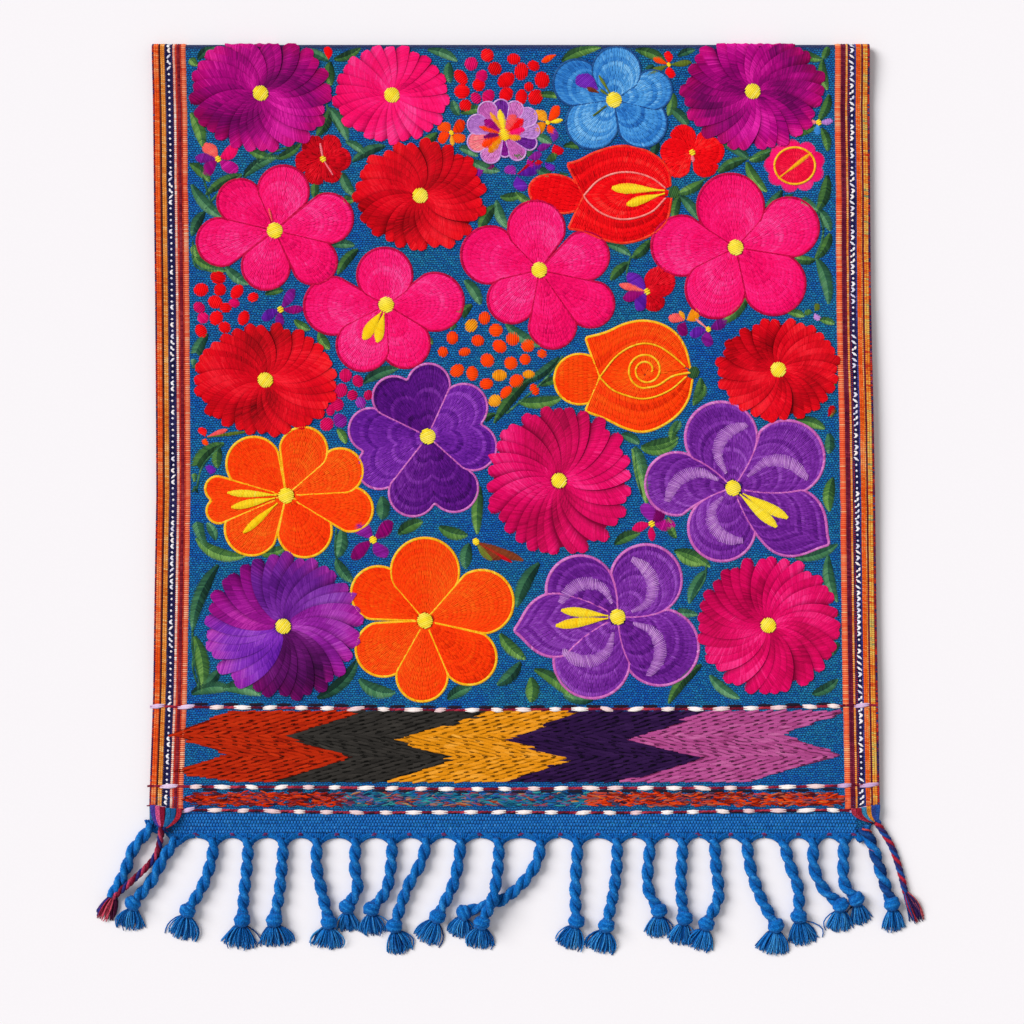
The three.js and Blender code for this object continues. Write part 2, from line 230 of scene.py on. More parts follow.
# collects the stitches and pads of one piece of needlework, in the cloth's own places
class Needlework:
    def __init__(self, name, seed):
        self.name, self.random = name, np.random.default_rng(seed)
        self.parts = []      # places on the cloth, heights, colours, faces

    # one small cushion of three by three places for each row; order is that of a face's corners
    def cushions(self, places, heights, shades, order):
        starts = [3 * row + column for row in (0, 1) for column in (0, 1)]
        corners = np.array([[start + step for step in order] for start in starts])
        faces = (np.arange(len(places))[:, None, None] * 9 + corners).reshape(-1, 4)
        self.parts.append((places.reshape(-1, 2), heights.ravel(), shades.reshape(-1, 3), faces))

    # straight or bowed stitches; low is the height of each end, and the end shares set the brightness of each
    # end
    def stitches(self, starts, ends, width, colours, low=0.2, arch=0.45, bend=0.0, drop=0.4,
                 paintedEndShade=(0.88, 0.88), pinch=0.8):
        count = len(starts)
        if not count:
            return
        low = np.broadcast_to(np.reshape(low, (-1, 1)) if np.ndim(low) == 1 else low, (count, 2))
        width, arch, bend = (np.broadcast_to(value, count)[:, None] for value in (width, arch, bend))
        part, side = np.array([0, 0.5, 1]), np.array([-1, 0, 1])
        bow = np.sin(math.pi * part)
        reach = ends - starts
        beside = squareTo(reach)
        spine = starts[:, None] + reach[:, None] * part[:, None] + beside[:, None] * (bend * bow)[..., None]
        offset = (width * (pinch, 1, pinch) / 2)[..., None] * side
        places = spine[:, :, None] + beside[:, None, None] * offset[..., None]
        height = low[:, :1] * (1 - part) + low[:, 1:] * part + arch * bow
        heights = height[..., None] - (drop * width)[..., None] * np.abs(side)
        # painted shade in the grooves between stitches: each stitch's colour is scaled at its ends by the end
        # shares and is darker along its sides
        bright = np.outer((paintedEndShade[0], 1, paintedEndShade[1]), (0.86, 1.04, 0.86))[..., None]
        shades = np.broadcast_to(colours, (count, 3))[:, None, None] * bright
        self.cushions(places, heights, shades, (0, 1, 4, 3))

    # ribs and knots of the weave
    def beads(self, centres, width, length, colours, low, rise):
        count = len(centres)
        grid = np.array([[(column, row) for column in (-1, 0, 1)] for row in (-1, 0, 1)], float)
        rounded = grid * (1 - 0.12 * np.abs(grid[..., ::-1]))
        places = centres[:, None, None] + rounded * (width / 2, length / 2)
        crown = 1 - np.abs(grid) @ (0.5, 0.85)
        # painted shade: each bead brighter on its crown, darker towards its edges
        bright = (0.66 + 0.38 * np.clip(crown, 0, 1))[..., None]
        shades = np.broadcast_to(colours, (count, 3))[:, None, None] * bright
        self.cushions(places, np.broadcast_to(low + rise * crown, (count, 3, 3)), shades, (0, 3, 4, 1))

    # a sheet of padding from rows and columns of places
    def pad(self, places, heights, colour):
        rows, columns = places.shape[:2]
        across, over = places[1:, :-1] - places[:-1, :-1], places[:-1, 1:] - places[:-1, :-1]
        index = np.arange(rows * columns).reshape(rows, columns)
        corners = (index[:-1, :-1], index[:-1, 1:], index[1:, 1:], index[1:, :-1])
        faces = np.stack(corners, -1).reshape(-1, 4)
        if (across[..., 0] * over[..., 1] - across[..., 1] * over[..., 0]).sum() < 0:
            faces = faces[:, ::-1]
        self.parts.append((places.reshape(-1, 2), np.broadcast_to(heights, (rows, columns)).ravel(),
                           np.broadcast_to(colour, (rows * columns, 3)), faces))

    def finish(self, material=satinThread):
        plan, heights, colours, faces = zip(*self.parts)
        starts = np.cumsum([0] + [len(part) for part in plan[:-1]])
        faces = np.concatenate([part + start for part, start in zip(faces, starts)])
        plan, heights, colours = map(np.concatenate, (plan, heights, colours))
        plan[:, 1] += runner["shift"] * np.clip(1 - plan[:, 1] / runner["shiftReach"], 0, 1)
        places = onCloth(*plan.T, heights)
        meshFromArrays(self.name, places, faces, colours, plan, material)


# one piece of needlework for each row of a table
def stitchAll(table, seed, stitch, what, material=satinThread):
    for index, (name, row) in enumerate(table.items()):
        work = Needlework(name, seed + index)
        stitch(work, row)
        work.finish(material)
    print(what, "made")


# satin catches the light where a thread lies square to it
def threadGlow(angle):
    return np.sin(angle - math.radians(135)) ** 2 - 0.5


def headingOf(reach):
    return np.arctan2(-reach[..., 1], reach[..., 0])


def turnedTo(angle, length=1.0):
    return np.stack([np.cos(angle) * length, -np.sin(angle) * length], -1)


def squareTo(reach):
    return unit(np.stack([-reach[..., 1], reach[..., 0]], -1))


def runOf(line):
    return np.concatenate([[0], np.cumsum(np.linalg.norm(np.diff(line, axis=0), axis=1))])


def spaced(line, count):
    run = runOf(line)
    return pointsAt(line, run, np.linspace(0, run[-1], count))


# a smooth line through a few places, evenly spaced
def smoothLine(points, count):
    points = np.asarray(points, float)
    run = runOf(points)
    step = np.diff(points, axis=0) / np.maximum(np.diff(run), 1e-6)[:, None]
    slope = np.concatenate([step[:1], (step[1:] + step[:-1]) / 2, step[-1:]])
    at = np.linspace(0, run[-1], 8 * count)
    i = np.clip(np.searchsorted(run, at, side="right") - 1, 0, len(run) - 2)
    gap = (run[i + 1] - run[i])[:, None]
    t = (at - run[i])[:, None] / gap
    line = ((1 + 2 * t) * (1 - t) ** 2 * points[i] + t * (1 - t) ** 2 * gap * slope[i]
            + t * t * (3 - 2 * t) * points[i + 1] + t * t * (t - 1) * gap * slope[i + 1])
    return spaced(line, count)


# outlines of the shapes already stitched, which later ones keep clear of
covers = []


def uncovered(places):
    clear = np.ones(len(places), bool)
    for outline in covers:
        near = clear & (places >= outline.min(0)).all(1) & (places <= outline.max(0)).all(1)
        if near.any():
            across, along = places[near, 0, None], places[near, 1, None]
            ahead = np.roll(outline, -1, 0)
            level = (outline[:, 1] > along) != (ahead[:, 1] > along)
            rise = np.where(level, ahead[:, 1] - outline[:, 1], 1)
            meets = outline[:, 0] + (ahead[:, 0] - outline[:, 0]) * (along - outline[:, 1]) / rise
            clear[near] = (level & (across < meets)).sum(1) % 2 == 0
    return clear


# rho runs from a shape's foot to its edge, tau from side to side
def gridOf(rows, columns, low=0.02, high=0.98, side=1.0):
    return np.meshgrid(np.linspace(low, high, rows), np.linspace(-side, side, columns), indexing="ij")


rowStitch = {"pitch": 0.84, "width": 1.02, "shingle": 0.3}
stemPitch = 1.15
dropPitch = 0.78


# short stitches in rows, across a shape given by place(rho, tau)
def rowStitches(work, place, edges, palette, height, level=0.5, glow=0.3, wave=0.12, band=(0.6, 0.0)):
    random = work.random
    fine = np.linspace(-1, 1, 60)
    phase = random.uniform(0, 6)
    for row, (low, high) in enumerate(zip(edges[:-1], edges[1:])):
        middle, reach = (low + high) / 2, rowStitch["shingle"] * (high - low)
        run = runOf(place(np.full(60, middle), fine))
        count = max(2, int(run[-1] / rowStitch["pitch"]))
        at = (np.arange(count) + 0.5 + random.uniform(-0.2, 0.2, count)) / count * run[-1]
        tau = np.interp(at, run, fine)
        start = place(np.clip(low - reach * random.uniform(0.2, 1, count), 0.02, 1), tau)
        end = place(np.clip(high + reach * random.uniform(-0.2, 0.7, count), 0, 1), tau)
        # the tone holds painted light: a highlight where a thread lies square to the light, painted sheen
        # alternating from row to row (wave) and a band of painted sheen across the shape (band), over random
        # tone
        value = (level + glow * threadGlow(headingOf(end - start)) + random.normal(0, 0.09, count)
                 + wave * (math.sin(1.9 * row + phase) + 0.6 * (-1) ** row)
                 + band[1] * (math.exp(-((middle - band[0]) / 0.16) ** 2) - 0.3))
        low = height(np.full(count, middle), tau)[:, None] + (-0.02, 0.08)
        clear = uncovered((start + end) / 2)
        work.stitches(start[clear], end[clear], rowStitch["width"], toned(palette, value[clear]),
                      low=low[clear], arch=0.2)


# stem stitch along a line of places
def stemStitch(work, line, palette, width=1.2, level=0.55, tone=0.5, clear=False):
    run = runOf(line)
    count = max(2, int(run[-1] / stemPitch))
    at = (np.arange(count) + 0.5) * run[-1] / count
    start, end = (pointsAt(line, run, np.clip(at + 0.85 * way * stemPitch, 0, run[-1])) for way in (-1, 1))
    value = tone + 0.25 * threadGlow(headingOf(end - start)) + work.random.normal(0, 0.14, count)
    shown = uncovered((start + end) / 2) if clear else np.ones(count, bool)
    lean = squareTo(end - start) * 0.28 * width
    work.stitches((start - lean)[shown], (end + lean)[shown], width, toned(palette, value)[shown], low=level,
                  arch=0.3)


# parallel satin stitches over a round or oval padding
def satinDisc(work, centre, radii, palette, turn=0.5, width=1.1, level=0.35, rise=0.7, tone=0.55):
    count = max(3, int(2 * radii[1] / (width * 0.8)))
    at = (np.arange(count) + 0.5) / count * 2 - 1
    rounded = np.sqrt(np.clip(1 - at ** 2, 0.05, 1))
    half = (rounded * radii[0] * work.random.uniform(0.97, 1.03, count))[:, None] * turnedTo(turn)
    middle = centre + at[:, None] * radii[1] * turnedTo(turn + math.pi / 2)
    colours = toned(palette, tone + work.random.normal(0, 0.07, count))
    work.stitches(middle - half, middle + half, width, colours, low=level, arch=rise * rounded)


# a drop-shaped petal in satin across a bent spine; a leaf's two halves slant to its vein, and it keeps off
# the side bands and what is stitched already
def satinDrop(work, foot, heading, length, breadth, palette, bend=0.0, widest=0.6, level=0.3, rise=0.5,
              tone=0.5, leaf=False):
    random, keepOff = work.random, runner["leafMargins"]
    count = max(4, int(length / dropPitch))
    s = (np.arange(count) + 0.5) / count
    angle = heading + bend * (s - 0.5)
    axis, side = turnedTo(angle), turnedTo(angle + math.pi / 2)
    spine = foot + (np.cumsum(axis, 0) - axis / 2) * length / count
    swell = np.sin(math.pi * np.clip(s, 0.03, 0.97) ** (math.log(0.5) / math.log(widest))) ** 0.6
    half = np.maximum(breadth / 2 * swell * random.uniform(0.97, 1.03, count), 0.4)
    value = tone + 0.3 * threadGlow(angle + math.pi / 2) + 0.34 * leaf * (s - 0.5)
    value = value + random.normal(0, 0.07, count)
    if leaf:
        left, right = sideAt(spine[:, 1], 1) + keepOff[0], sideAt(spine[:, 1], 2) - keepOff[1]
        edge = np.minimum(spine[:, 0] - left, right - spine[:, 0])
        kept = uncovered(spine) & (edge > half * np.abs(side[:, 0]))
        axis, side, spine, half, value = (v[kept] for v in (axis, side, spine, half, value))
    crown = rise * (0.35 + 1.3 * half / breadth)
    lean = 0.3 * half[:, None] * axis
    wide = half[:, None] * side
    if not leaf:
        work.stitches(spine - wide - lean, spine + wide + lean, 1.0, toned(palette, value), low=level,
                      arch=crown)
        return
    lows = np.stack([np.full(len(half), level), level + crown], 1)
    # painted light and shade: one half of each leaf is brighter and the other darker, and each half is darker
    # at its edge than at the vein
    for way, lighter in ((-1, 0.22), (1, -0.14)):
        work.stitches(spine + way * wide + lean, spine - lean, 1.0, toned(palette, value + lighter), low=lows,
                      arch=0.2, paintedEndShade=(0.6, 1.1))


# satin across a band that follows a line, as wide as breadth says along it
def satinRibbon(work, line, breadth, palette, width, level):
    count = max(4, int(runOf(line)[-1] / (width * 1.12)))
    middle = spaced(line, count)
    reach = np.gradient(middle, axis=0)
    beside = squareTo(reach)
    half = np.interp(np.linspace(0, 1, count), np.linspace(0, 1, len(breadth)), breadth) / 2
    stretch = (half * work.random.uniform(0.9, 1.08, count))[:, None] * (beside + unit(reach) * 0.25)
    value = 0.5 + 0.3 * threadGlow(headingOf(beside)) + work.random.normal(0, 0.17, count)
    work.stitches(middle - stretch, middle + stretch, width, toned(palette, value), low=level, arch=0.3)


print("cloth frame and stitch tools ready")

palettes = {
    "hotPink": ("#c00050", "#f80866", "#ff1e7c", "#ff4c9c"),
    "pinkEdge": ("#98002e", "#c40442", "#e21a5c"),
    "red": ("#6e0008", "#ba0214", "#e4041e", "#fa2636"),
    "brightRed": ("#a80008", "#ea0410", "#ff0a16", "#ff3a34"),
    "redEdge": ("#d8141c", "#f83820", "#ff6040"),
    "roseLine": ("#f06068", "#ff8a80", "#ffb0a8"),
    "crimson": ("#900038", "#c80450", "#ea0868", "#ff3a90"),
    "magenta": ("#4c0044", "#7c0260", "#b80484", "#ea28ac"),
    "violet": ("#30085a", "#541290", "#7a2abe", "#a85cdc"),
    "plum": ("#4e0656", "#740f7c", "#9820a2", "#bc4cc0"),
    "darkPlum": ("#2c0430", "#4c0850", "#6c1470", "#98389c"),
    "magentaPlum": ("#4e0450", "#7a0c74", "#a01494", "#cc38b4"),
    "orchid": ("#3c0c70", "#6418a0", "#8c34c0", "#b864d8"),
    "lilacEdge": ("#b070c0", "#d098dc", "#ecc4ec"),
    "purple": ("#3c0a64", "#5e168e", "#7a28a8", "#9a46c4"),
    "purpleDeep": ("#300648", "#4c0c72", "#64168a", "#8434a8"),
    "pansy": ("#420f64", "#671c8c", "#8432a9", "#a458c6"),
    "lilac": ("#9a58b0", "#be7ed0", "#d6a0e0"),
    "pinkCord": ("#a84898", "#d068bc", "#e898d8"),
    "blue": ("#184e9c", "#2e7ccc", "#4e9ee2", "#86c6f6"),
    "blueEdge": ("#163470", "#22508e", "#3c74ae"),
    "orange": ("#c82200", "#ff3a04", "#ff4e08", "#ff6c12"),
    "yellow": ("#e8a000", "#ffd014", "#ffe434", "#fff078"),
    "yellowCord": ("#e89008", "#ffbc1c", "#ffdc4c"),
    "leaf": ("#163020", "#325a32", "#56843e", "#8cb660"),
    "leafTeal": ("#122e26", "#2a5640", "#467c54", "#76a87a"),
    "olive": ("#3c4a1c", "#687a28", "#94a040"),
    "coral": ("#cc343c", "#fa5858", "#ff8070"),
    "gold": ("#d06400", "#f89a10", "#ffc038"),
    "salmon": ("#d84860", "#fa7888", "#ffa4a0"),
    "brown": ("#44160e", "#76301a", "#9c5028"),
    "roseRed": ("#dc0030", "#ff1442", "#ff385c"),
}

# Round flowers of many curved petals: place, radii, petals, swirl, thread (or threads by heading), the tips'
# thread, and the heading that shines.
swirlFlowers = {
    "flowerMagentaLeft": (-132, 25.5, 38, 31.5, 30, 0.62, "magenta", "crimson", 150),
    "flowerPinkTop": (-62.5, 26.5, 31.5, 26.5, 26, 0.2, "hotPink", "hotPink", 120),
    "flowerRedTop": (-47.5, 80, 35.5, 29.5, 31, 0.6, "red", "brightRed", 165),
    "flowerMagentaRight": (128.5, 24.5, 38.5, 31.5, 30, -0.5, "magenta", "crimson", 75),
    "flowerRedLeft": (-129.5, 178, 38.5, 29.8, 33, 0.55, "red", "brightRed", 20),
    "flowerRedRight": (142, 172.5, 32.8, 27.4, 31, -0.5, "red", "brightRed", 20),
    "flowerCrimson": (26, 231.5, 39.4, 40.2, 34, 0.5, "crimson", "crimson", 15),
    "flowerVioletLeft": (-120, 309, 42.5, 38.6, 34, -0.55,
                         ((20, "pansy"), (108, "magentaPlum"), (168, "orchid"), (245, "darkPlum"),
                          (330, "plum")),
                         "magenta", 165),
    "flowerCrimsonLow": (136.8, 308.5, 38.5, 36.6, 34, -0.6, "crimson", "crimson", 25),
}
swirlPetal = {"from": 0.13, "to": 0.99, "pitch": 0.44, "thread": 0.62, "overlap": 1.16, "tip": 1.15}


def swirlFlower(work, row):
    across, along, radius, radiusAlong, petals, swirl, threads, tips, bright = row
    random = work.random
    threads = ((0, threads),) if isinstance(threads, str) else threads
    centre, squash = np.array([across, along]), np.array([1, radiusAlong / radius])
    rings = np.linspace(0.02, 0.88, 9)
    disc = centre + turnedTo(np.linspace(0, 2 * math.pi, 41)[None, :], (rings * radius)[:, None]) * squash
    # padding under the petals, darkened as painted shade between them
    work.pad(disc, 0.12 + 0.2 * np.cos(rings * 1.4)[:, None], toned(palettes[threads[0][1]], 0.0) * 0.8)
    for petal in range(petals):
        base = 2 * math.pi * (petal + random.uniform(-0.1, 0.1)) / petals
        length = radius * (random.uniform(0.96, 1.02) if petal % 2 else random.uniform(0.92, 0.98))
        heading = math.degrees(base + 0.8 * swirl + random.normal(0, 0.1)) % 360
        shade = palettes[threads[np.searchsorted([low for low, _ in threads], heading, side="right") - 1][1]]
        tone = 0.52 + random.normal(0, 0.06)
        curl = swirl * random.uniform(0.9, 1.1)
        outer = np.linspace(swirlPetal["from"], swirlPetal["to"], int(0.86 * length / swirlPetal["pitch"]))
        here, further = (centre + turnedTo(base + curl * rho ** 1.3, rho * length) * squash
                         for rho in (outer, outer + 0.01))
        ahead = further - here
        broad = math.pi * length / petals * swirlPetal["overlap"]
        tipRun = np.clip(1 + (outer - swirlPetal["to"]) * length / (swirlPetal["tip"] * broad), 0, 1)
        half = broad * (0.1 + 0.9 * outer) * np.sqrt(np.clip(1 - tipRun ** 2.4, 0.015, 1))
        shine = np.cos(headingOf(ahead) - math.radians(bright)) ** 2 - 0.5
        value = tone + 0.34 * shine + random.normal(0, 0.09, len(outer)) + 0.12 * np.sin(outer * 9 + base * 3)
        blend = smoothStep(outer, 0.7, 1.0)[:, None] * 0.4
        colours = toned(shade, value) * (1 - blend) + toned(palettes[tips], value + 0.05) * blend
        away = smoothStep(outer, 0.1, 0.5)
        wide = squareTo(ahead) * math.copysign(1, swirl) * half[:, None]
        lean = unit(ahead) * ((1.8 - 1.3 * away) * half * (1 - tipRun ** 2))[:, None]
        low = np.stack([np.full(len(outer), 0.2), 0.62 + 0.2 * away], 1)
        clear = uncovered(here)
        # painted shadow: each petal is darker along the side tucked under its neighbour
        work.stitches((here - wide - lean)[clear], (here + wide + lean)[clear], swirlPetal["thread"],
                      colours[clear], low=low[clear], arch=0.23 + 0.23 * away[clear], paintedEndShade=(0.5, 0.98))
    covers.append(centre + turnedTo(np.linspace(0, 2 * math.pi, 48), radius * 0.93) * squash)
    satinDisc(work, centre, (4, 4), palettes["yellow"], turn=0.9, level=1.0, rise=0.6, tone=0.72)


# Outlined flowers. Petals: the headings of their two sides in degrees, reach, and lobes where not one, with 0
# for a pointed petal. Marks: heading, distance from the middle, length, breadth and thread.
# wave sets the painted sheen that alternates row by row, band the painted sheen band across each petal
plainPetals = {"curl": 0.0, "cordWidth": 1.35, "wave": 0.05, "marks": (), "crescents": (0,) * 9}
pinkPetals = {"fill": "hotPink", "cord": "pinkEdge", "band": 0.2}
orangePetals = {"fill": "orange", "cord": "yellowCord", "band": 0.1}
pansyPetals = {"fill": "pansy", "cord": "pinkCord", "band": 0.06, "wave": 0.12, "cordWidth": 1.6,
               "curl": 0.16}
petalFlowers = {
    "flowerPinkLeft": {
        **pinkPetals, "at": (-124.5, 98.5),
        "petals": ((42, 114, 35), (-13, 39, 42), (-65, -12, 38.5), (218, 294, 32), (167, 217, 41.8),
                   (112, 168, 36)),
        "marks": ((105, 5, 7, 1.2, "coral"),)},
    "flowerPinkBell": {
        **pinkPetals, "at": (-65.5, 138),
        "petals": ((33, 153, 30.3), (207, 273, 38.4), (-97, -31, 35.8), (-31, 38, 41), (150, 212, 43.5)),
        "marks": ((236, 4.5, 17.5, 6, "yellow"), (256, 4.5, 16, 5.2, "yellow"))},
    "flowerPinkMiddle": {
        **pinkPetals, "at": (15.5, 119.5),
        "petals": ((54, 134, 37), (-12, 47, 38), (-55, -12, 45), (260, 307, 42.5), (193, 261, 34),
                   (131, 195, 42.5))},
    "flowerPinkRight": {
        **pinkPetals, "at": (119.5, 107.5),
        "petals": ((47, 147, 39.4), (-9, 51, 46), (-78, -9, 44.5), (206, 282, 40), (146, 210, 44.5))},
    "flowerBlue": {
        "fill": "blue", "cord": "blueEdge", "band": 0.16, "wave": 0.12, "cordWidth": 1.05, "at": (55, 29),
        "petals": ((32, 138, 28.1), (123, 188, 34), (-14, 43, 31.5), (176, 278, 30.6), (-80, 2, 32.4)),
        "marks": ((147, 10, 13, 8.5, "violet"), (155, 9, 6.5, 3, "brown"), (122, 4, 11, 1.6, "olive"),
                  (143, 4, 5, 1.4, "olive"), (218, 5, 9, 1.2, "olive"))},
    "flowerOrangeLeft": {
        **orangePetals, "at": (-118.5, 239.5),
        "petals": ((164, 203, 43, 2), (41, 97, 38.2), (101, 170, 38.5), (3, 46, 43.5), (-31, 7, 46.6),
                   (-102, -22, 35.2), (192, 256, 39.5)),
        "marks": ((177, 5, 26, 4, "yellow"), (192, 6, 23.5, 4.4, "yellow"), (221, 6, 24, 4, "yellow"))},
    "flowerOrangeLow": {
        **orangePetals, "at": (-45, 306),
        "petals": ((49, 131, 44), (-12, 49, 48.5), (-67, -13, 45), (241, 293, 43), (183, 246, 41.3),
                   (121, 178, 43))},
    "flowerPurple": {
        "fill": "purple", "cord": "pinkCord", "band": 0.08, "wave": 0.12, "cordWidth": 1.2,
        "at": (-43.5, 208),
        "petals": ((66, 154, 38.7, 2), (-42, 68, 37, 2), (232, 320, 43.5, 2), (152, 234, 42, 2)),
        "fills": ("purpleDeep", "purple", "purpleDeep", "purple")},
    "flowerPansyRight": {
        **pansyPetals, "at": (118, 235.5), "crescents": (0, -1, 1, 1, -1),
        "petals": ((-64, -6, 59.5, 0), (200, 300, 39.5), (-10, 60, 52.5), (58, 139, 46.5),
                   (139, 203, 46.5)),
        "marks": ((-29, 6, 27, 5.6, "yellow"), (-42, 5, 26, 5.4, "yellow"))},
    "flowerPansyLow": {
        **pansyPetals, "at": (57, 304), "crescents": (0, -1, -1, 1, 1),
        "petals": ((154, 212, 55.7, 0), (95, 183, 42.5), (2, 94, 43.5), (190, 280, 47), (-84, 4, 48)),
        "marks": ((173, 5, 25, 5, "yellow"), (188, 5, 28, 5.4, "yellow"))},
}


# a round lobe that touches the petal's two sides, or two such lobes side by side, or one drawn to a point
def petalPlace(centre, low, high, reach, lobes=1, curl=0.0):
    middle, half = math.radians(low + high) / 2, math.radians(high - low) / 2
    apart = half * 0.475 if lobes == 2 else 0
    tangent = math.sin(min(half - apart, 1.3))
    lobe = reach * tangent / (1 + tangent) * 1.03
    away = reach - lobe

    def place(rho, tau):
        off = np.abs(np.abs(tau) * half - apart)
        rim = away * np.cos(off) + np.sqrt(np.clip(lobe ** 2 - (away * np.sin(off)) ** 2, 0, None))
        if lobes == 0:
            rim = rim * 0.9 + 0.1 * reach * np.exp(-np.abs(tau) / 0.16)
        return centre + turnedTo(middle + half * tau + curl * (rho ** 1.5 - 0.5), rim * (0.05 + 0.95 * rho))
    return place


# a rounded shape from end to end of its longer axis
def ovalPlace(centre, reach, half, turn):
    def place(rho, tau):
        run = 2 * rho[..., None] - 1
        beside = np.sqrt(np.clip(1 - run ** 2, 0.0004, 1)) * tau[..., None]
        return np.array(centre) + run * reach * turnedTo(turn) + beside * half * turnedTo(turn + math.pi / 2)
    return place


# a padded petal: rows of small stitches over a dome, and its outline in stem stitch
def paddedPetal(work, place, reach, fill, cord, rowDepth=2.7, cordWidth=1.35, wave=0.05, band=0.0):
    def dome(rho, tau):
        return 0.42 * np.sqrt(np.clip(1 - tau ** 2, 0, 1)) * np.sin(math.pi * np.clip(rho, 0, 1) ** 0.8)

    rho, tau = gridOf(9, 13, 0.04, 0.98, 0.98)
    under = place(rho, tau)
    clear = uncovered(under.reshape(-1, 2)).reshape(rho.shape)
    # padding, darkened as painted shade in the gaps between stitches
    work.pad(under, np.where(clear, 0.04 + dome(rho, tau), -0.4), toned(fill, 0.1) * 0.75)
    rows = np.linspace(0.07, 0.985, int(reach / rowDepth) + 1)
    rowStitches(work, place, rows, fill, lambda rho, tau: 0.34 + dome(rho, tau), wave=wave,
                level=0.54 + work.random.normal(0, 0.04), band=(work.random.uniform(0.45, 0.75), band))
    edge, turn = np.linspace(0.12, 1, 24), np.linspace(-1, 1, 60)
    sides = (place(edge, -np.ones(24)), place(np.ones(60), turn), place(edge[::-1], np.ones(24)))
    rim = np.concatenate(sides)
    if cord is not None:
        stemStitch(work, rim, cord, width=cordWidth, clear=True)
    covers.append(rim)


def petalFlower(work, flower):
    flower = {**plainPetals, "fills": (flower["fill"],) * 9, **flower}
    centre = np.array(flower["at"], float)
    for petal, fill, way in zip(flower["petals"], flower["fills"], flower["crescents"]):
        place = petalPlace(centre, *petal, curl=flower["curl"])
        paddedPetal(work, place, petal[2], palettes[fill], palettes[flower["cord"]],
                    cordWidth=flower["cordWidth"], wave=flower["wave"], band=flower["band"])
        if way:
            rho = np.linspace(0.17, 0.83, 30)
            line = place(rho, way * (0.5 - 1.08 * smoothStep(rho, 0.34, 0.88)))
            satinRibbon(work, line, (1.6, 4.2, 6.4, 7.0, 6.2, 3.2), palettes["lilac"], width=0.7, level=0.85)
    for heading, away, length, breadth, thread in flower["marks"]:
        turn = math.radians(heading)
        satinDrop(work, centre + turnedTo(turn, away), turn, length, breadth, palettes[thread], widest=0.66,
                  level=1.12, rise=0.45)
    satinDisc(work, centre, (4.1, 4.1), palettes["yellow"], turn=0.4, level=1.0, rise=0.6, tone=0.72)


stitchAll(petalFlowers, 200, petalFlower, "outlined flowers")
stitchAll(swirlFlowers, 100, swirlFlower, "round flowers")

# Two buds seen from the side, tip to the right: the outlines of their leaves and of the heart between them.
buds = {
    "budRed": {
        "fill": "brightRed", "cord": "redEdge", "seam": "roseLine", "tip": (85, 78), "notch": (39, 80),
        "over": ((85, 75), (83.5, 65.5), (75, 57.5), (60, 53.5), (45, 57), (36, 61.5), (30.3, 63)),
        "under": ((85.5, 81), (82.5, 94), (75, 100.5), (60, 105), (47.5, 102.5), (36, 98), (31, 97.5)),
        "heartOver": ((82.5, 76), (75, 70.5), (64.5, 67.5), (55.5, 68), (46.5, 72), (39, 80)),
        "heartUnder": ((82.5, 81), (75, 88.5), (60, 92.5), (49, 89.5), (41.5, 83.5), (39, 80)),
        "tail": ((24.8, 78.9), 15, 9.8, 166), "drops": ((177, 28, 5.6), (196, 21, 4.8))},
    "budOrange": {
        "fill": "orange", "cord": "yellowCord", "seam": "yellowCord", "tip": (95.5, 174),
        "notch": (47.5, 176.5),
        "over": ((95.5, 172), (92.5, 160.5), (88, 153.5), (80.5, 148.5), (71, 146.5), (61.5, 148),
                 (50.5, 152.8), (40, 155.5)),
        "under": ((96.5, 177.5), (94.5, 187.5), (89.5, 195.5), (79, 203), (70, 205.5), (61, 203.5),
                  (50.5, 198.5), (40, 194.5)),
        "heartOver": ((93, 171), (85.5, 164.5), (78.5, 160), (71, 158.5), (63.5, 160.5), (56, 165.7),
                      (47.5, 176.5)),
        "heartUnder": ((93.5, 176), (84.5, 183.5), (71, 188), (61, 186), (54, 183), (47.5, 176.5)),
        "tail": ((37, 177.5), 13.6, 13.3, 180), "spiral": (72, 172.8)},
}


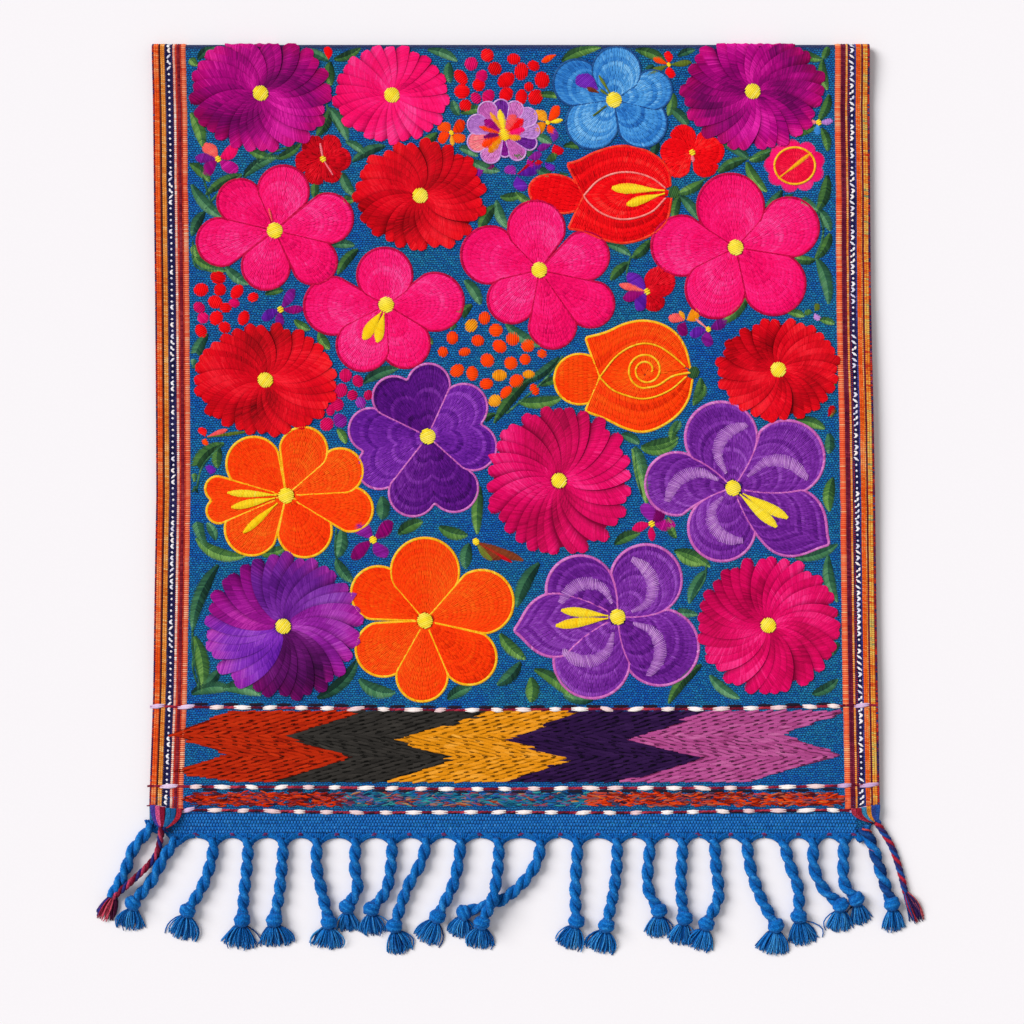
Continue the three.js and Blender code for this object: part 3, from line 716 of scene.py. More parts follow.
def budWork(work, bud):
    fill, cord = palettes[bud["fill"]], palettes[bud["cord"]]
    lines = {key: smoothLine(bud[key], 60) for key in ("over", "under", "heartOver", "heartUnder")}
    notch, tip = np.array(bud["notch"], float), np.array(bud["tip"], float)
    for outer, inner in (("over", "heartOver"), ("under", "heartUnder")):
        rim, seam = lines[outer], lines[inner]

        def leafPlace(rho, tau):
            low, high = (pointsAt(line, np.arange(60), (tau + 1) / 2 * 59) for line in (seam, rim))
            return low + (high - low) * rho[..., None]

        rho, tau = gridOf(6, 25, side=0.99)
        # padding, darkened as painted shade in the gaps between stitches
        work.pad(leafPlace(rho, tau), 0.05 + 0.3 * np.sin(math.pi * rho), toned(fill, 0.1) * 0.75)
        rowStitches(work, leafPlace, np.linspace(0.0, 0.99, 6), fill,
                    lambda rho, tau: 0.34 + 0.3 * np.sin(math.pi * rho), level=0.46)
        stemStitch(work, np.concatenate([rim, [notch]]), cord, width=1.4)
    heart = np.concatenate([[tip], lines["heartOver"], lines["heartUnder"][::-1], [tip]])
    middle = (notch + tip) / 2

    def heartPlace(rho, tau):
        edge = pointsAt(heart, np.arange(len(heart)), (tau + 1) / 2 * (len(heart) - 1))
        return middle + (edge - middle) * rho[..., None]

    rho, tau = gridOf(8, 33)
    # padding, darkened as painted shade in the gaps between stitches
    work.pad(heartPlace(rho, tau), 0.1 + 0.3 * (1 - rho ** 2), toned(fill, 0.1) * 0.75)
    rowStitches(work, heartPlace, np.linspace(0.06, 0.98, 7), fill,
                lambda rho, tau: 0.4 + 0.3 * (1 - rho ** 2), level=0.62, glow=0.2)
    for key in ("heartOver", "heartUnder"):
        stemStitch(work, lines[key], palettes[bud["seam"]], width=0.85, level=0.75)
    for heading, reach, breadth in bud.get("drops", ()):
        satinDrop(work, tip + (-3, (heading - 187) * 0.08), math.radians(heading), reach, breadth,
                  palettes["yellow"], widest=0.72, level=0.95)
    if "spiral" in bud:
        turn = np.linspace(0, 1, 90)
        coil = bud["spiral"] + turnedTo(np.radians(-20 + 640 * turn), 3.2 + 6.6 * turn ** 0.9)
        tail = smoothLine([coil[-1], (78, 181), (86, 176), tuple(tip)], 20)
        stemStitch(work, np.concatenate([coil, tail[1:]]), palettes["yellowCord"], width=1.0, level=0.95)
    satinDisc(work, tip + (1.8, 0), (3.4, 2.8), palettes["leaf"], turn=1.2, level=0.5, tone=0.35)
    covers.append(np.concatenate([lines["over"], [notch], lines["under"][::-1]]))
    middle, reach, half, turn = bud["tail"]
    paddedPetal(work, ovalPlace(middle, reach, half, math.radians(turn)), 2 * reach, fill, cord)


stitchAll(buds, 300, budWork, "buds")

# Small flowers: place, radius of the eye, lobes as their two sides' headings, reach and thread, and drops as
# heading, reach, breadth and thread.
smallFlowers = {
    "smallTopLeft": (
        {"at": (-99, 60.5), "eye": 1.6, "lobes": (
            (95, 160, 14.5, "red"), (30, 95, 14, "red"), (-30, 30, 15, "red"), (-85, -30, 14, "red"),
            (215, 275, 14.5, "red"), (160, 215, 15, "red")),
         "drops": ((100, 8.5, 1.3, "salmon"), (-58, 10, 1.1, "salmon"))},
        {"at": (-154.5, 60.5), "eye": 1.6, "drops": (
            (130, 11, 7, "coral"), (30, 12, 7, "hotPink"), (-35, 12, 7, "magenta"), (225, 11, 7, "magenta"),
            (175, 12, 5.5, "plum"))},
        {"at": (-96, 8.5), "eye": 0, "drops": ((92, 8, 4.6, "brightRed"),)},
        {"at": (-31, 46.5), "eye": 1.2, "drops": (
            (140, 8, 6.6, "orange"), (40, 9, 6.6, "orange"), (-35, 8, 6, "orange"), (210, 8, 6, "orange"),
            (-85, 7, 2.6, "gold"))}),
    "smallTopMiddle": (
        {"at": (-3, 47.5), "eye": 3.2, "rim": "lilacEdge", "lobes": (
            (143, 175, 20.5, "lilac"), (178, 212, 20, "salmon"), (214, 255, 17.5, "pinkCord"),
            (110, 140, 20.5, "pinkCord"), (84, 110, 19, "pansy"), (52, 82, 19, "pinkCord"),
            (22, 52, 20.5, "lilac"), (-4, 20, 19, "lilac"), (-30, -6, 18, "pansy"),
            (-72, -34, 16, "pinkCord"), (255, 290, 12, "plum")),
         "drops": ((100, 13.5, 4, "yellow"), (122, 14, 3, "gold"), (142, 13, 6, "magenta"),
                   (162, 14, 3, "orange"), (60, 12, 6.5, "coral"), (38, 13, 6, "brightRed"),
                   (14, 11, 5, "hotPink"), (-15, 9, 4, "gold"), (205, 13, 6, "orange"),
                   (228, 12.5, 5, "gold"), (187, 11, 4, "magenta"))},
        {"at": (20, 41), "eye": 1.1, "drops": (
            (135, 9, 6.5, "gold"), (55, 10.5, 5.5, "orange"), (215, 8, 6, "gold"), (-65, 7, 4.5, "orange"),
            (10, 8, 2.4, "yellow"))},
        {"at": (3.5, 69), "eye": 0, "drops": (
            (140, 7, 6, "plum"), (20, 14, 6.5, "violet"), (-70, 9, 7, "violet"), (40, 12, 2, "red"))},
        {"at": (9, 60), "eye": 0, "drops": (
            (165, 8, 5, "leaf"), (15, 8, 4.6, "plum"), (70, 6, 3.6, "leafTeal"), (-60, 6, 4, "magenta"))},
        {"at": (18, 62), "eye": 0, "drops": ((30, 8, 4.4, "leaf"), (-40, 7, 4.2, "violet"),
                                             (190, 5, 3.4, "red"))},
        {"at": (-13, 66), "eye": 0, "drops": ((200, 6, 5.4, "plum"), (20, 5, 3, "magenta"))},
        {"at": (23, 52), "eye": 0, "drops": ((85, 7.5, 5, "pansy"), (-60, 7, 6, "red"),
                                             (200, 9, 4, "plum"))}),
    "smallTopRight": (
        {"at": (96.5, 57), "eye": 1.6, "lobes": (
            (142, 214, 17, "brightRed"), (92, 150, 16.4, "brightRed"), (196, 246, 17, "brightRed"),
            (-30, 40, 17.2, "brightRed"), (-70, -14, 16.4, "brightRed"), (22, 58, 15, "brightRed")),
         "drops": ((-85, 5, 2, "salmon"),)},
        {"at": (84, 10.5), "eye": 1.0, "drops": (
            (92, 7, 4.6, "brightRed"), (155, 9, 3.6, "orange"), (-80, 7, 5.4, "brightRed"),
            (6, 12, 3.4, "olive"), (205, 13, 4, "olive"))},
        {"at": (163.5, 41), "eye": 1.5, "drops": (
            (178, 6.5, 3.4, "salmon"), (6, 7.5, 3.6, "lilac"), (-100, 6.5, 4, "blue"),
            (75, 5, 2.4, "leaf"))}),
    "smallMiddleLeft": (
        {"at": (-121.5, 140.5), "eye": 1.7, "drops": (
            (55, 13, 5.5, "plum"), (0, 12, 4.6, "magenta"), (205, 11, 6, "violet"), (-95, 9, 5, "plum"))},
        {"at": (-72.5, 263), "eye": 2.0, "drops": (
            (42, 14, 7.6, "magenta"), (135, 12.5, 8, "plum"), (-55, 11.5, 7.6, "plum"),
            (220, 15, 7, "magenta"))},
        {"at": (-161, 208.5), "eye": 0, "drops": (
            (120, 6, 4.4, "brightRed"), (20, 12, 3.0, "coral"), (-100, 4, 4, "orange"),
            (8, 22, 2, "olive"))},
        {"at": (-158.5, 229), "eye": 0, "drops": ((90, 5.5, 5.6, "violet"),)}),
    "smallMiddleRight": (
        {"at": (72.5, 131), "eye": 1.7, "lobes": ((-10, 85, 17, "red"), (-95, -10, 12, "red")),
         "drops": ((165, 15, 4, "coral"), (135, 14, 7, "violet"), (195, 13, 6, "magenta"),
                   (240, 11, 7, "violet"))},
        {"at": (93, 146.5), "eye": 0, "drops": (
            (165, 9, 5.5, "coral"), (35, 9, 6.6, "gold"), (250, 8, 6.5, "magenta"), (120, 6, 2.6, "gold"))},
        {"at": (105, 151), "eye": 1.4, "drops": (
            (25, 11, 6, "plum"), (-95, 9, 6.4, "plum"), (195, 10, 6, "violet"), (140, 9, 1.4, "salmon"))},
        {"at": (75, 254.5), "eye": 1.7, "drops": (
            (105, 11.5, 8, "plum"), (50, 10, 7, "magenta"), (-5, 12.5, 6.5, "magenta"),
            (195, 10.5, 5.5, "crimson"), (-90, 9, 4, "crimson"))}),
    "smallLow": (
        {"at": (-18, 264), "eye": 1.8, "drops": (
            (-35, 16, 9, "brown"), (-50, 13, 5, "olive"), (-22, 27, 4.4, "brown"), (-30, 22, 2.6, "red"))},
        {"at": (161, 142), "eye": 0, "drops": ((60, 5, 3.6, "olive"), (-60, 5, 3.6, "lilac"),
                                               (180, 5, 3.6, "leaf"))},
        {"at": (168, 198), "eye": 0, "drops": ((60, 7, 4, "red"),)},
        {"at": (25, 5), "eye": 0, "drops": ((205, 9, 3.4, "orange"),)}),
}


def smallFlower(work, flower):
    centre = np.array(flower["at"], float)
    rim = palettes[flower["rim"]] if "rim" in flower else None
    for low, high, reach, thread in flower.get("lobes", ()):
        wider = 14 if rim is None else 4
        place = petalPlace(centre, low - wider, high + wider, reach)
        paddedPetal(work, place, reach, palettes[thread], rim, rowDepth=3, cordWidth=0.8)
    lift = 0.6 if "lobes" in flower else 0.0
    for heading, reach, breadth, thread in flower.get("drops", ()):
        turn, tone = math.radians(heading), 0.5 + work.random.normal(0, 0.08)
        satinDrop(work, centre + turnedTo(turn, 0.8), turn, reach - 0.8, breadth, palettes[thread],
                  widest=0.62, rise=0.45, level=0.3 + lift, tone=tone)
    if flower["eye"]:
        satinDisc(work, centre, (flower["eye"],) * 2, palettes["yellow"], level=0.75 + lift / 2, rise=0.4)


def smallGroup(work, flowers):
    for flower in flowers:
        smallFlower(work, flower)


stitchAll(smallFlowers, 400, smallGroup, "small flowers")

# The scalloped pink rosette: outlined in red, a ring and a slanting line of yellow on it.
rosette = {"at": (150.8, 64), "radii": (11, 9), "lobes": 9, "lobe": 5.4,
           "ring": (10.8, 9.8), "line": (38, 12.6)}


def rosetteWork(work, rosette):
    centre, ring, lobe = np.array(rosette["at"]), np.array(rosette["ring"]), rosette["lobe"]

    def place(rho, tau):
        return centre + turnedTo(tau * math.pi) * ring * rho[..., None]

    for step in range(rosette["lobes"]):
        angle = 2 * math.pi * step / rosette["lobes"] + 0.3
        satinDisc(work, centre + turnedTo(angle) * rosette["radii"], (lobe, lobe * 0.92), palettes["hotPink"],
                  turn=angle, width=0.72, level=0.15, rise=0.5, tone=0.55 + work.random.normal(0, 0.1))
    rho, tau = gridOf(6, 33, high=1.05)
    # padding, darkened as painted shade in the gaps between stitches
    work.pad(place(rho, tau), 0.62, toned(palettes["roseRed"], 0.2) * 0.8)
    rowStitches(work, place, np.linspace(0.03, 1.02, 5), palettes["roseRed"], lambda rho, tau: 0.66 + 0 * rho)
    turn = np.linspace(-math.pi, math.pi, 90)
    stemStitch(work, centre + turnedTo(turn) * ring, palettes["yellowCord"], width=1.0, level=0.95)
    heading, reach = math.radians(rosette["line"][0]), rosette["line"][1]
    satinDrop(work, centre - turnedTo(heading, reach * 0.88), heading, reach * 1.76, 2.2,
              palettes["yellowCord"], widest=0.7, level=0.9, rise=0.4)
    covers.append(centre + turnedTo(turn) * (np.array(rosette["radii"]) + lobe * 0.9))


stitchAll({"smallRosette": rosette}, 450, rosetteWork, "rosette")

# Berries in satin: place, then a radius of 3.4 unless another is given.
berries = {
    "berriesRed": ("brightRed", (
        (-20.5, 10), (-12, 5.5), (2, 7.5), (-8, 12.5), (-26, 17), (-15, 16.5), (-2, 18.5, 4.2),
        (6, 14, 3.9), (-16.5, 21, 3.6), (-25.5, 24.5, 4), (-11.5, 27), (-2, 26), (-18, 28, 2.8), (6, 27.5),
        (-23.5, 32, 3), (10, 22, 2.4), (12.5, 11, 3), (17, 18.5, 4.2), (13.5, 27.5, 3.8))),
    "berriesLeft": ("brightRed", (
        (-163.5, 130), (-154.5, 123.5, 3.8), (-153.5, 130, 3), (-144.5, 131), (-136, 134, 2.6),
        (-156, 136.5), (-150.5, 139.5, 3), (-164.5, 139.5, 3), (-162.5, 145, 3), (-141, 145), (-155.5, 145),
        (-151, 150, 3), (-163.5, 152), (-146, 137, 2.6))),
    "berriesOrange": ("orange", (
        (-13.5, 145), (-20.5, 149), (-7.5, 151.5), (-30.5, 155.5), (-17, 157), (1.5, 156), (-5.5, 160),
        (9.5, 159.5), (-24, 163, 2.8), (-12, 167.5), (0.5, 169), (-35.5, 163, 2.8), (-28, 173),
        (-20, 174.5), (-5.5, 175.5), (8, 167, 2.8), (-12.5, 180, 3), (3.5, 178.5), (-2, 184.5, 3),
        (-8, 189), (-20, 185, 2.6), (10, 175, 2.6), (13, 183, 2.8), (17, 164, 2.6))),
    "berriesPink": ("crimson", (
        (-87, 175.5), (-80.5, 178.5, 3), (-89.5, 183.5), (-83.5, 186, 2.8), (-75, 186, 2.6),
        (-79, 190, 2.8), (-91.5, 191), (-95, 194, 2.6), (-90, 199.5), (-97, 201.5, 3.4))),
}
berryRadius = 3.4
otherThreads = {"brightRed": "crimson", "orange": "gold", "crimson": "plum"}


def berryWork(work, cluster):
    random = work.random
    thread, places = cluster
    for across, along, *radius in places:
        size = (radius[0] if radius else berryRadius) * random.uniform(0.92, 1.08)
        shown = palettes[thread if random.uniform() < 0.85 else otherThreads[thread]]
        if uncovered(np.array([[across, along]]))[0]:
            shape = random.uniform(0.84, 1.16)
            satinDisc(work, (across, along), (size * shape, size / shape), shown, turn=random.uniform(0, 3.1),
                      rise=0.8, tone=0.52 + random.normal(0, 0.08))


stitchAll(berries, 500, berryWork, "berries")

# Leaves from stalk to tip, with their breadth, and how far they bend.
leaves = {
    "leavesTopLeft": (
        (-165, 7.5, -157, 1.5, 4), (-169, 36, -163.5, 52, 5.5), (-139, 54.5, -126.5, 59, 4),
        (-142, 69, -159, 78.5, 4.5), (-169.5, 63, -160, 71.5, 4.5), (-168.5, 74, -152.5, 90.5, 5),
        (-161.5, 88.5, -167.5, 100, 4.5), (-169.5, 102.5, -166, 113.5, 4.5),
        (-168, 112, -152, 119, 4.5), (-150.5, 117.5, -139.5, 126, 4.5),
        (-129.5, 132.5, -121, 130.5, 3.5), (-94.5, 106.5, -83.5, 106.5, 4),
        (-80.5, 108.5, -90, 120.5, 4.5), (-95.5, 33.5, -102, 47, 5), (-95, 9, -94.5, 20, 4.8),
        (-93, 7.5, -80.5, 2, 4), (-104, 71, -104, 80, 4), (-101, 78.5, -83.5, 81.5, 5),
        (-89, 67, -83, 78.5, 4.5), (-66, 53.5, -81.5, 61, 4.5), (-96, 8.5, -110, 4, 4),
        (-173, 14, -172, 28, 4.6), (-172, 2, -166, 10, 4), (-124, 77, -110, 72, 4),
        (-172.5, 56, -170, 72, 4), (-97, 92, -88, 100, 4), (-96, 33, -87, 49, 5),
        (-141, 70, -124, 60, 4.6, -0.6), (-124, 60, -112, 52.5, 4), (-87, 51, -78, 57, 3.6)),
    "leavesTopMiddle": (
        (-43.5, 2.5, -29.5, 8, 4), (-32, 9.5, -31.5, 19, 4.5), (-38.5, 46.5, -46.5, 51, 4),
        (-27, 54.5, -18, 58.5, 3.8), (-21, 60.5, -7, 66, 4.5), (-7.5, 85, -15, 97, 5),
        (-7, 82.5, -2, 95.5, 4.5), (-5, 80.5, 5.5, 79, 3.8), (27.5, 8.5, 46, 2, 4.8),
        (28.5, 53.5, 41.5, 54.5, 3.5), (12.5, 63.5, 29.5, 68, 4.5, 0.9), (-24, 125, -16.5, 136.5, 5),
        (-20, 138, -30, 150, 5), (-2, 148, 15.5, 158.5, 5), (14, 26.5, 27, 28, 3),
        (-26, 36, -16, 34, 4.5), (-27, 37, -30, 30, 4), (13, 48, 21, 52, 4), (3, 78, 11, 83, 3.4),
        (36, 107, 45, 112, 3.6), (-14, 100, -20, 110, 4)),
    "leavesTopRight": (
        (66.5, 2.5, 80.5, 8.5, 4.5), (89, 6, 97, 3, 3.2), (76, 11, 72, 15, 3.2),
        (86.5, 25.5, 84, 36, 4.5), (85, 33.5, 93.5, 42, 4.5), (77.5, 50, 75, 59, 4),
        (112, 52, 125, 59.5, 4.6), (138, 55, 128, 60.5, 4.5), (125, 60.5, 112, 67, 4.6),
        (125.5, 62, 135, 76, 4.8), (102, 72, 90, 78, 4.5), (90, 80, 98.5, 91, 4.5),
        (90, 80, 87.5, 92, 4.2), (144, 77, 136, 85, 4), (145.5, 80.5, 161.5, 87, 4.6),
        (168, 69, 163, 86.5, 5), (163, 87, 169, 97.5, 4.5), (169.5, 100, 162.5, 112, 4.8),
        (161.5, 114, 152, 113, 4), (162.5, 113.5, 168, 135, 5.5), (165.5, 8, 168, 22, 4.2),
        (151, 2, 164, 7, 4), (169, 26, 164, 38.5, 4.4), (151, 48.5, 161, 44, 4), (165, 44, 168, 55, 4),
        (168, 0.5, 165.5, 7, 3.4), (108, 42, 100, 36, 3.6)),
    "leavesMiddle": (
        (51, 105.5, 62.5, 111, 4), (74, 103.5, 65.5, 112, 4.5), (63.5, 115.5, 54.5, 124, 4.5),
        (126, 133.5, 112.5, 146.5, 4.5), (127.5, 138, 140, 142, 4.5), (147, 142, 155, 144, 3.6),
        (164, 146, 171, 148, 3.4), (101, 177, 97.5, 190, 4.5), (59, 207, 67.5, 211.5, 4.2),
        (69.5, 214, 87.5, 210.5, 5, 0.9), (89, 200, 86, 209.5, 4), (66, 213.5, 70, 231.5, 5),
        (-77.5, 179.5, -61, 172.5, 5), (-91.5, 204, -87.5, 211, 3.6), (-114, 146, -106.5, 150.5, 3.6),
        (-101, 152.5, -96, 160.5, 4.5), (-160, 153.5, -167, 168.5, 5), (51, 138, 42, 146, 3.6),
        (-52, 150, -42, 158, 4), (-8, 196, -22, 206, 4.6), (16, 181, 26, 178, 4),
        (-71, 158, -62, 166, 4.2), (-166, 170, -170, 186, 4.6)),
    "leavesLow": (
        (-68, 240, -68, 251, 6), (-89, 257, -91.5, 271, 5.5), (-92, 273, -84, 284, 5),
        (-59, 260, -47.5, 254, 5.5), (-37.5, 256, -24, 260, 5.5), (-16, 234.5, -17, 257, 5, 0.2),
        (-21.5, 265, -23, 277, 5.5), (-133, 270, -120, 267, 4.5),
        (-151.5, 212, -166.5, 231.5, 5.5, 1.2), (-154, 213, -154.5, 223.5, 4.8),
        (-166.5, 234.5, -161, 264.5, 5.5, 0.5), (-166, 262, -141.5, 270.5, 5.4, 0.9),
        (-154.5, 276.5, -166.5, 307.5, 6, 0.5), (-167, 314.5, -163.5, 341, 6, -0.5),
        (-154, 332, -162.5, 340.5, 5), (-168.5, 345, -150, 342.5, 6, -0.7),
        (-152, 342.5, -133.5, 345.5, 6, -0.8), (-102, 347, -82.5, 327.5, 5.5, 0.7),
        (-79.5, 337, -62, 343.5, 6, 0.9), (-33, 348, -21.5, 342, 5), (4.5, 189.5, 25, 187.5, 5.5, 0.4),
        (69.5, 213.5, 87, 209, 5, 0.4), (65, 214.5, 71.5, 240.5, 6, -0.3), (97.5, 189.5, 102, 181, 5),
        (87, 206, 90, 200.5, 4), (88, 269, 101, 275, 5), (26, 166, 9, 178, 4.5, -0.4),
        (12, 176, -6, 198, 5, 0.3), (55.5, 265.5, 67.5, 260, 5), (15.5, 275.5, 5, 296.5, 6),
        (-5, 313, 7, 325, 5.5), (5.5, 328, -5.5, 339, 5.5), (11, 336.5, 11, 348, 6),
        (13, 332, 32, 346.5, 5.5), (-156, 263, -160, 255, 4)),
    "leavesRight": (
        (151, 199.5, 165, 203.5, 4.5), (168.5, 206.5, 168.5, 216, 4.5), (171, 230, 169.5, 246, 5),
        (151, 272.5, 171, 266, 5), (168.5, 271.5, 173, 293.5, 5), (87, 269, 104, 276.5, 5),
        (104, 279.5, 96, 295, 5), (82, 304, 97.5, 303, 4.5), (101.5, 329.5, 86, 348, 5),
        (106, 335, 120, 346, 4.6), (160, 345, 172, 338, 4.6), (172, 300, 171, 322, 4.6),
        (150, 250, 162, 244, 4), (172, 180, 170, 196, 4), (44, 348, 30, 346, 4), (88, 262, 84, 252, 4)),
}
stems = ((-114, 53, -128, 58, -140, 69), (-142, 69, -152, 76, -162, 88), (163, 87, 166, 98, 163, 112),
         (-164, 344, -168, 330, -166, 318), (-12, 191, -20, 199, -30, 204), (85, 36, 86, 30, 85, 24),
         (-165, 62, -161, 75, -157, 88), (-168, 104, -166, 118, -152, 119), (-96, 20, -97, 32, -90, 46),
         (126, 60, 118, 62, 100, 73), (126, 60, 136, 57, 141, 54), (-152, 212, -163, 224, -166, 236),
         (66, 214, 67, 226, 70, 240), (-92, 257, -92, 272, -85, 284), (104, 276, 103, 284, 97, 294),
         (64, 112, 62, 122, 68, 130), (28, 165, 20, 176, -2, 196), (-168, 310, -168, 322, -164, 340))


def leafWork(work, rows):
    random = work.random
    for across, along, tipAcross, tipAlong, breadth, *bend in rows:
        reach = np.array([tipAcross - across, tipAlong - along])
        bow = bend[0] if bend else random.choice([-0.5, 0.5])
        shown = palettes["leafTeal" if random.uniform() < 0.5 else "leaf"]
        satinDrop(work, (across, along), headingOf(reach), np.linalg.norm(reach) * 1.14, breadth * 1.32,
                  shown, bend=bow * 1.3, widest=0.45, tone=0.42 + random.normal(0, 0.07), rise=0.3,
                  level=0.15, leaf=True)
    if work.name == "leavesLow":
        for stem in stems:
            stemStitch(work, smoothLine(np.reshape(stem, (-1, 2)), 20), palettes["leafTeal"], width=1.1,
                       level=0.3, tone=0.4, clear=True)


stitchAll(leaves, 600, leafWork, "leaves")

# The band of running stitch: jagged borders between its colours, as across and along.
arrowBand = {
    "names": ("Rust", "Coal", "Amber", "Plum", "Mauve"),
    "low": 354.6, "high": 391.2, "ends": (-182, 178), "stitch": 7.2, "row": 0.98, "tilt": 9,
    "turns": (366.5, 379),                       # where the stitches change their slant
    "threads": (("#8c1604", "#ba2808", "#d0360e"), ("#1f1d1b", "#302d2a", "#403c38"),
                ("#c07808", "#ec9414", "#fcb040"), ("#1a082a", "#2c1240", "#3e2054"),
                ("#94386e", "#b84e90", "#d070a8")),
    # the colours of the slits, one for each thread, are painted shade in the gaps where stitches end
    "slit": ("#3c0c04", "#0c0c0a", "#5c3404", "#08040e", "#481a38"),
    "borders": (
        ((-146, 354), (-180, 366), (-149, 377), (-180, 386), (-148, 391)),
        ((-84, 356), (-118, 368), (-85, 378.5), (-117, 389), (-125, 391)),
        ((-16, 357), (-61, 369.5), (-28.5, 380), (-63, 391)),
        ((32, 356), (-2, 370), (32, 379.5), (-2.5, 391)),
        ((100, 356), (62, 369.5), (101, 378.5), (61, 391)),
        ((176, 355), (142, 366), (176, 377.5), (136.5, 388), (128, 391))),
}
edgings = (                                       # along at the middle, rise to the sides, side of the black
    {"along": 353.4, "sag": 2.1, "black": -1.5, "phase": 3},
    {"along": 395.2, "sag": 1.6, "black": 1.7, "phase": 9},
    {"along": 408, "sag": 1.5, "black": 0.3, "phase": 5})
edging = {"pitch": 14.9, "dash": 8.4, "dashWidth": 2.5, "threadWidth": 1.25,
          "sides": (-170, 174), "blackWithin": 170,      # beyond the sides the dashes are lilac
          "white": ("#ecc8cc", "#fdeeea", "#fff8f6"), "red": ("#460c22", "#8c1a34", "#c43c50"),
          "black": ("#14101c", "#221a28", "#30243a"), "lilac": ("#c094c8", "#dcbce0", "#f2dcf4")}
streaks = {"low": 397.6, "high": 404.4, "ends": (-172, 179), "taper": 9, "rowPitch": 0.62, "pitch": 3.1,
           "zones": (
    (-169, -88, ("#2c0c14", "#7c1206", "#cc2802", "#e03c0c", "#142040", "#d84410")),
    (-88, 42, ("#0c2448", "#144c6c", "#1c7c98", "#2058ac", "#a8401c", "#2c2c5c", "#34a0a0", "#144490",
               "#c08040")),
    (42, 176, ("#3c1020", "#8c1c08", "#dc3408", "#f05018", "#16365c", "#e06a28")))}


def edgingPlace(line, across):
    return line["along"] - line["sag"] * (across / 185) ** 2 + 0.25 * np.sin(across / 23 + line["phase"])


def arrowWork():
    random = np.random.default_rng(700)
    pieces = [Needlework("arrows" + name, 700 + i) for i, name in enumerate(arrowBand["names"])]
    borders = [np.array(border, float) for border in arrowBand["borders"]]
    stitch, (first, second) = arrowBand["stitch"], arrowBand["turns"]
    for row, place in enumerate(np.arange(arrowBand["low"], arrowBand["high"], arrowBand["row"])):
        across = np.arange(*arrowBand["ends"], stitch) + stitch * (0.5 * (row % 2) + 0.06 * row)
        across = across + random.normal(0, 0.5, len(across))
        slope = math.tan(math.radians(arrowBand["tilt"])) * (1 if first <= place < second else -1)
        limits = np.array([np.interp(place, border[:, 1], border[:, 0]) for border in borders])
        zone = np.searchsorted(limits, across) - 1
        for index, work in enumerate(pieces):
            count = (zone == index).sum()
            if not count:
                continue
            mine = np.stack([across[zone == index], np.full(count, place)], 1)
            reach = np.array([stitch * 0.56, slope * stitch * 0.56]) * random.uniform(0.9, 1.08, (count, 1))
            tone = 0.5 + random.normal(0, 0.14, count)
            sway = np.stack([0 * tone, random.normal(0, 0.3, count)], 1)
            work.stitches(mine - reach - sway, mine + reach + sway, random.uniform(1.25, 1.5, count),
                          toned(arrowBand["threads"][index], tone), low=0.46, arch=0.16, drop=0.1,
                          paintedEndShade=(0.9, 0.9))
            if row % 2:                          # dark slits where the stitches end: painted shade in the gaps
                picked = random.uniform(size=count) < 0.75
                ends, cut = (mine + reach)[picked], reach[picked] * 0.3
                work.stitches(ends - cut, ends + cut, 0.5, linear(arrowBand["slit"][index]), low=0.74,
                              arch=0.04, drop=0.1)
    rows = np.linspace(arrowBand["low"] - 0.4, arrowBand["high"] + 0.4, 40)
    for index, work in enumerate(pieces):
        left, right = (np.interp(rows, border[:, 1], border[:, 0]) for border in borders[index:index + 2])
        sheet = np.stack([np.stack([across, rows], -1) for across in (left, (left + right) / 2, right)], 1)
        # padding under each colour, darkened as painted shade in the gaps between stitches
        work.pad(sheet, 0.3, toned(arrowBand["threads"][index], 0.0) * 0.55)
        work.finish(ribThread)
    print("arrow band woven")


def edgingWork(work, lines):
    random = work.random
    for line in lines:
        left, right = sideAt(line["along"], 1) + 0.4, sideAt(line["along"], 2) - 0.4
        across = np.arange(left, right, 2.4)
        thread = np.stack([across, edgingPlace(line, across)], 1)
        tone = 0.5 + 0.3 * np.sin(across / 5) + random.normal(0, 0.15, len(across))
        work.stitches(thread - (1.7, -0.3), thread + (1.7, -0.3), edging["threadWidth"],
                      toned(edging["red"], tone), low=0.55, arch=0.3)
        dashes = np.arange(left + line["phase"], right - 4, edging["pitch"])
        dashes = dashes + random.normal(0, 0.9, len(dashes))
        place = np.stack([dashes, edgingPlace(line, dashes)], 1)
        side = (dashes < edging["sides"][0]) | (dashes > edging["sides"][1])
        half = np.stack([edging["dash"] / 2 * random.uniform(0.72, 1.2, len(dashes)),
                         random.normal(0, 0.25, len(dashes)) - 0.5 * side], 1)
        colours = np.where(side[:, None], toned(edging["lilac"], random.uniform(0.2, 0.9, len(dashes))),
                           toned(edging["white"], random.uniform(0, 1, len(dashes))))
        for strand in (-0.4, 0.4):
            work.stitches(place - half + (0, strand), place + half + (0, strand), edging["dashWidth"] * 0.72,
                          colours, low=0.75, arch=0.8, pinch=0.45)
        between = place + (edging["pitch"] / 2, line["black"])
        between = between[np.abs(between[:, 0]) < edging["blackWithin"]]
        work.stitches(between - (3.8, 0), between + (3.8, 0), 1.6, toned(edging["black"], 0.5), low=0.5,
                      arch=0.3)


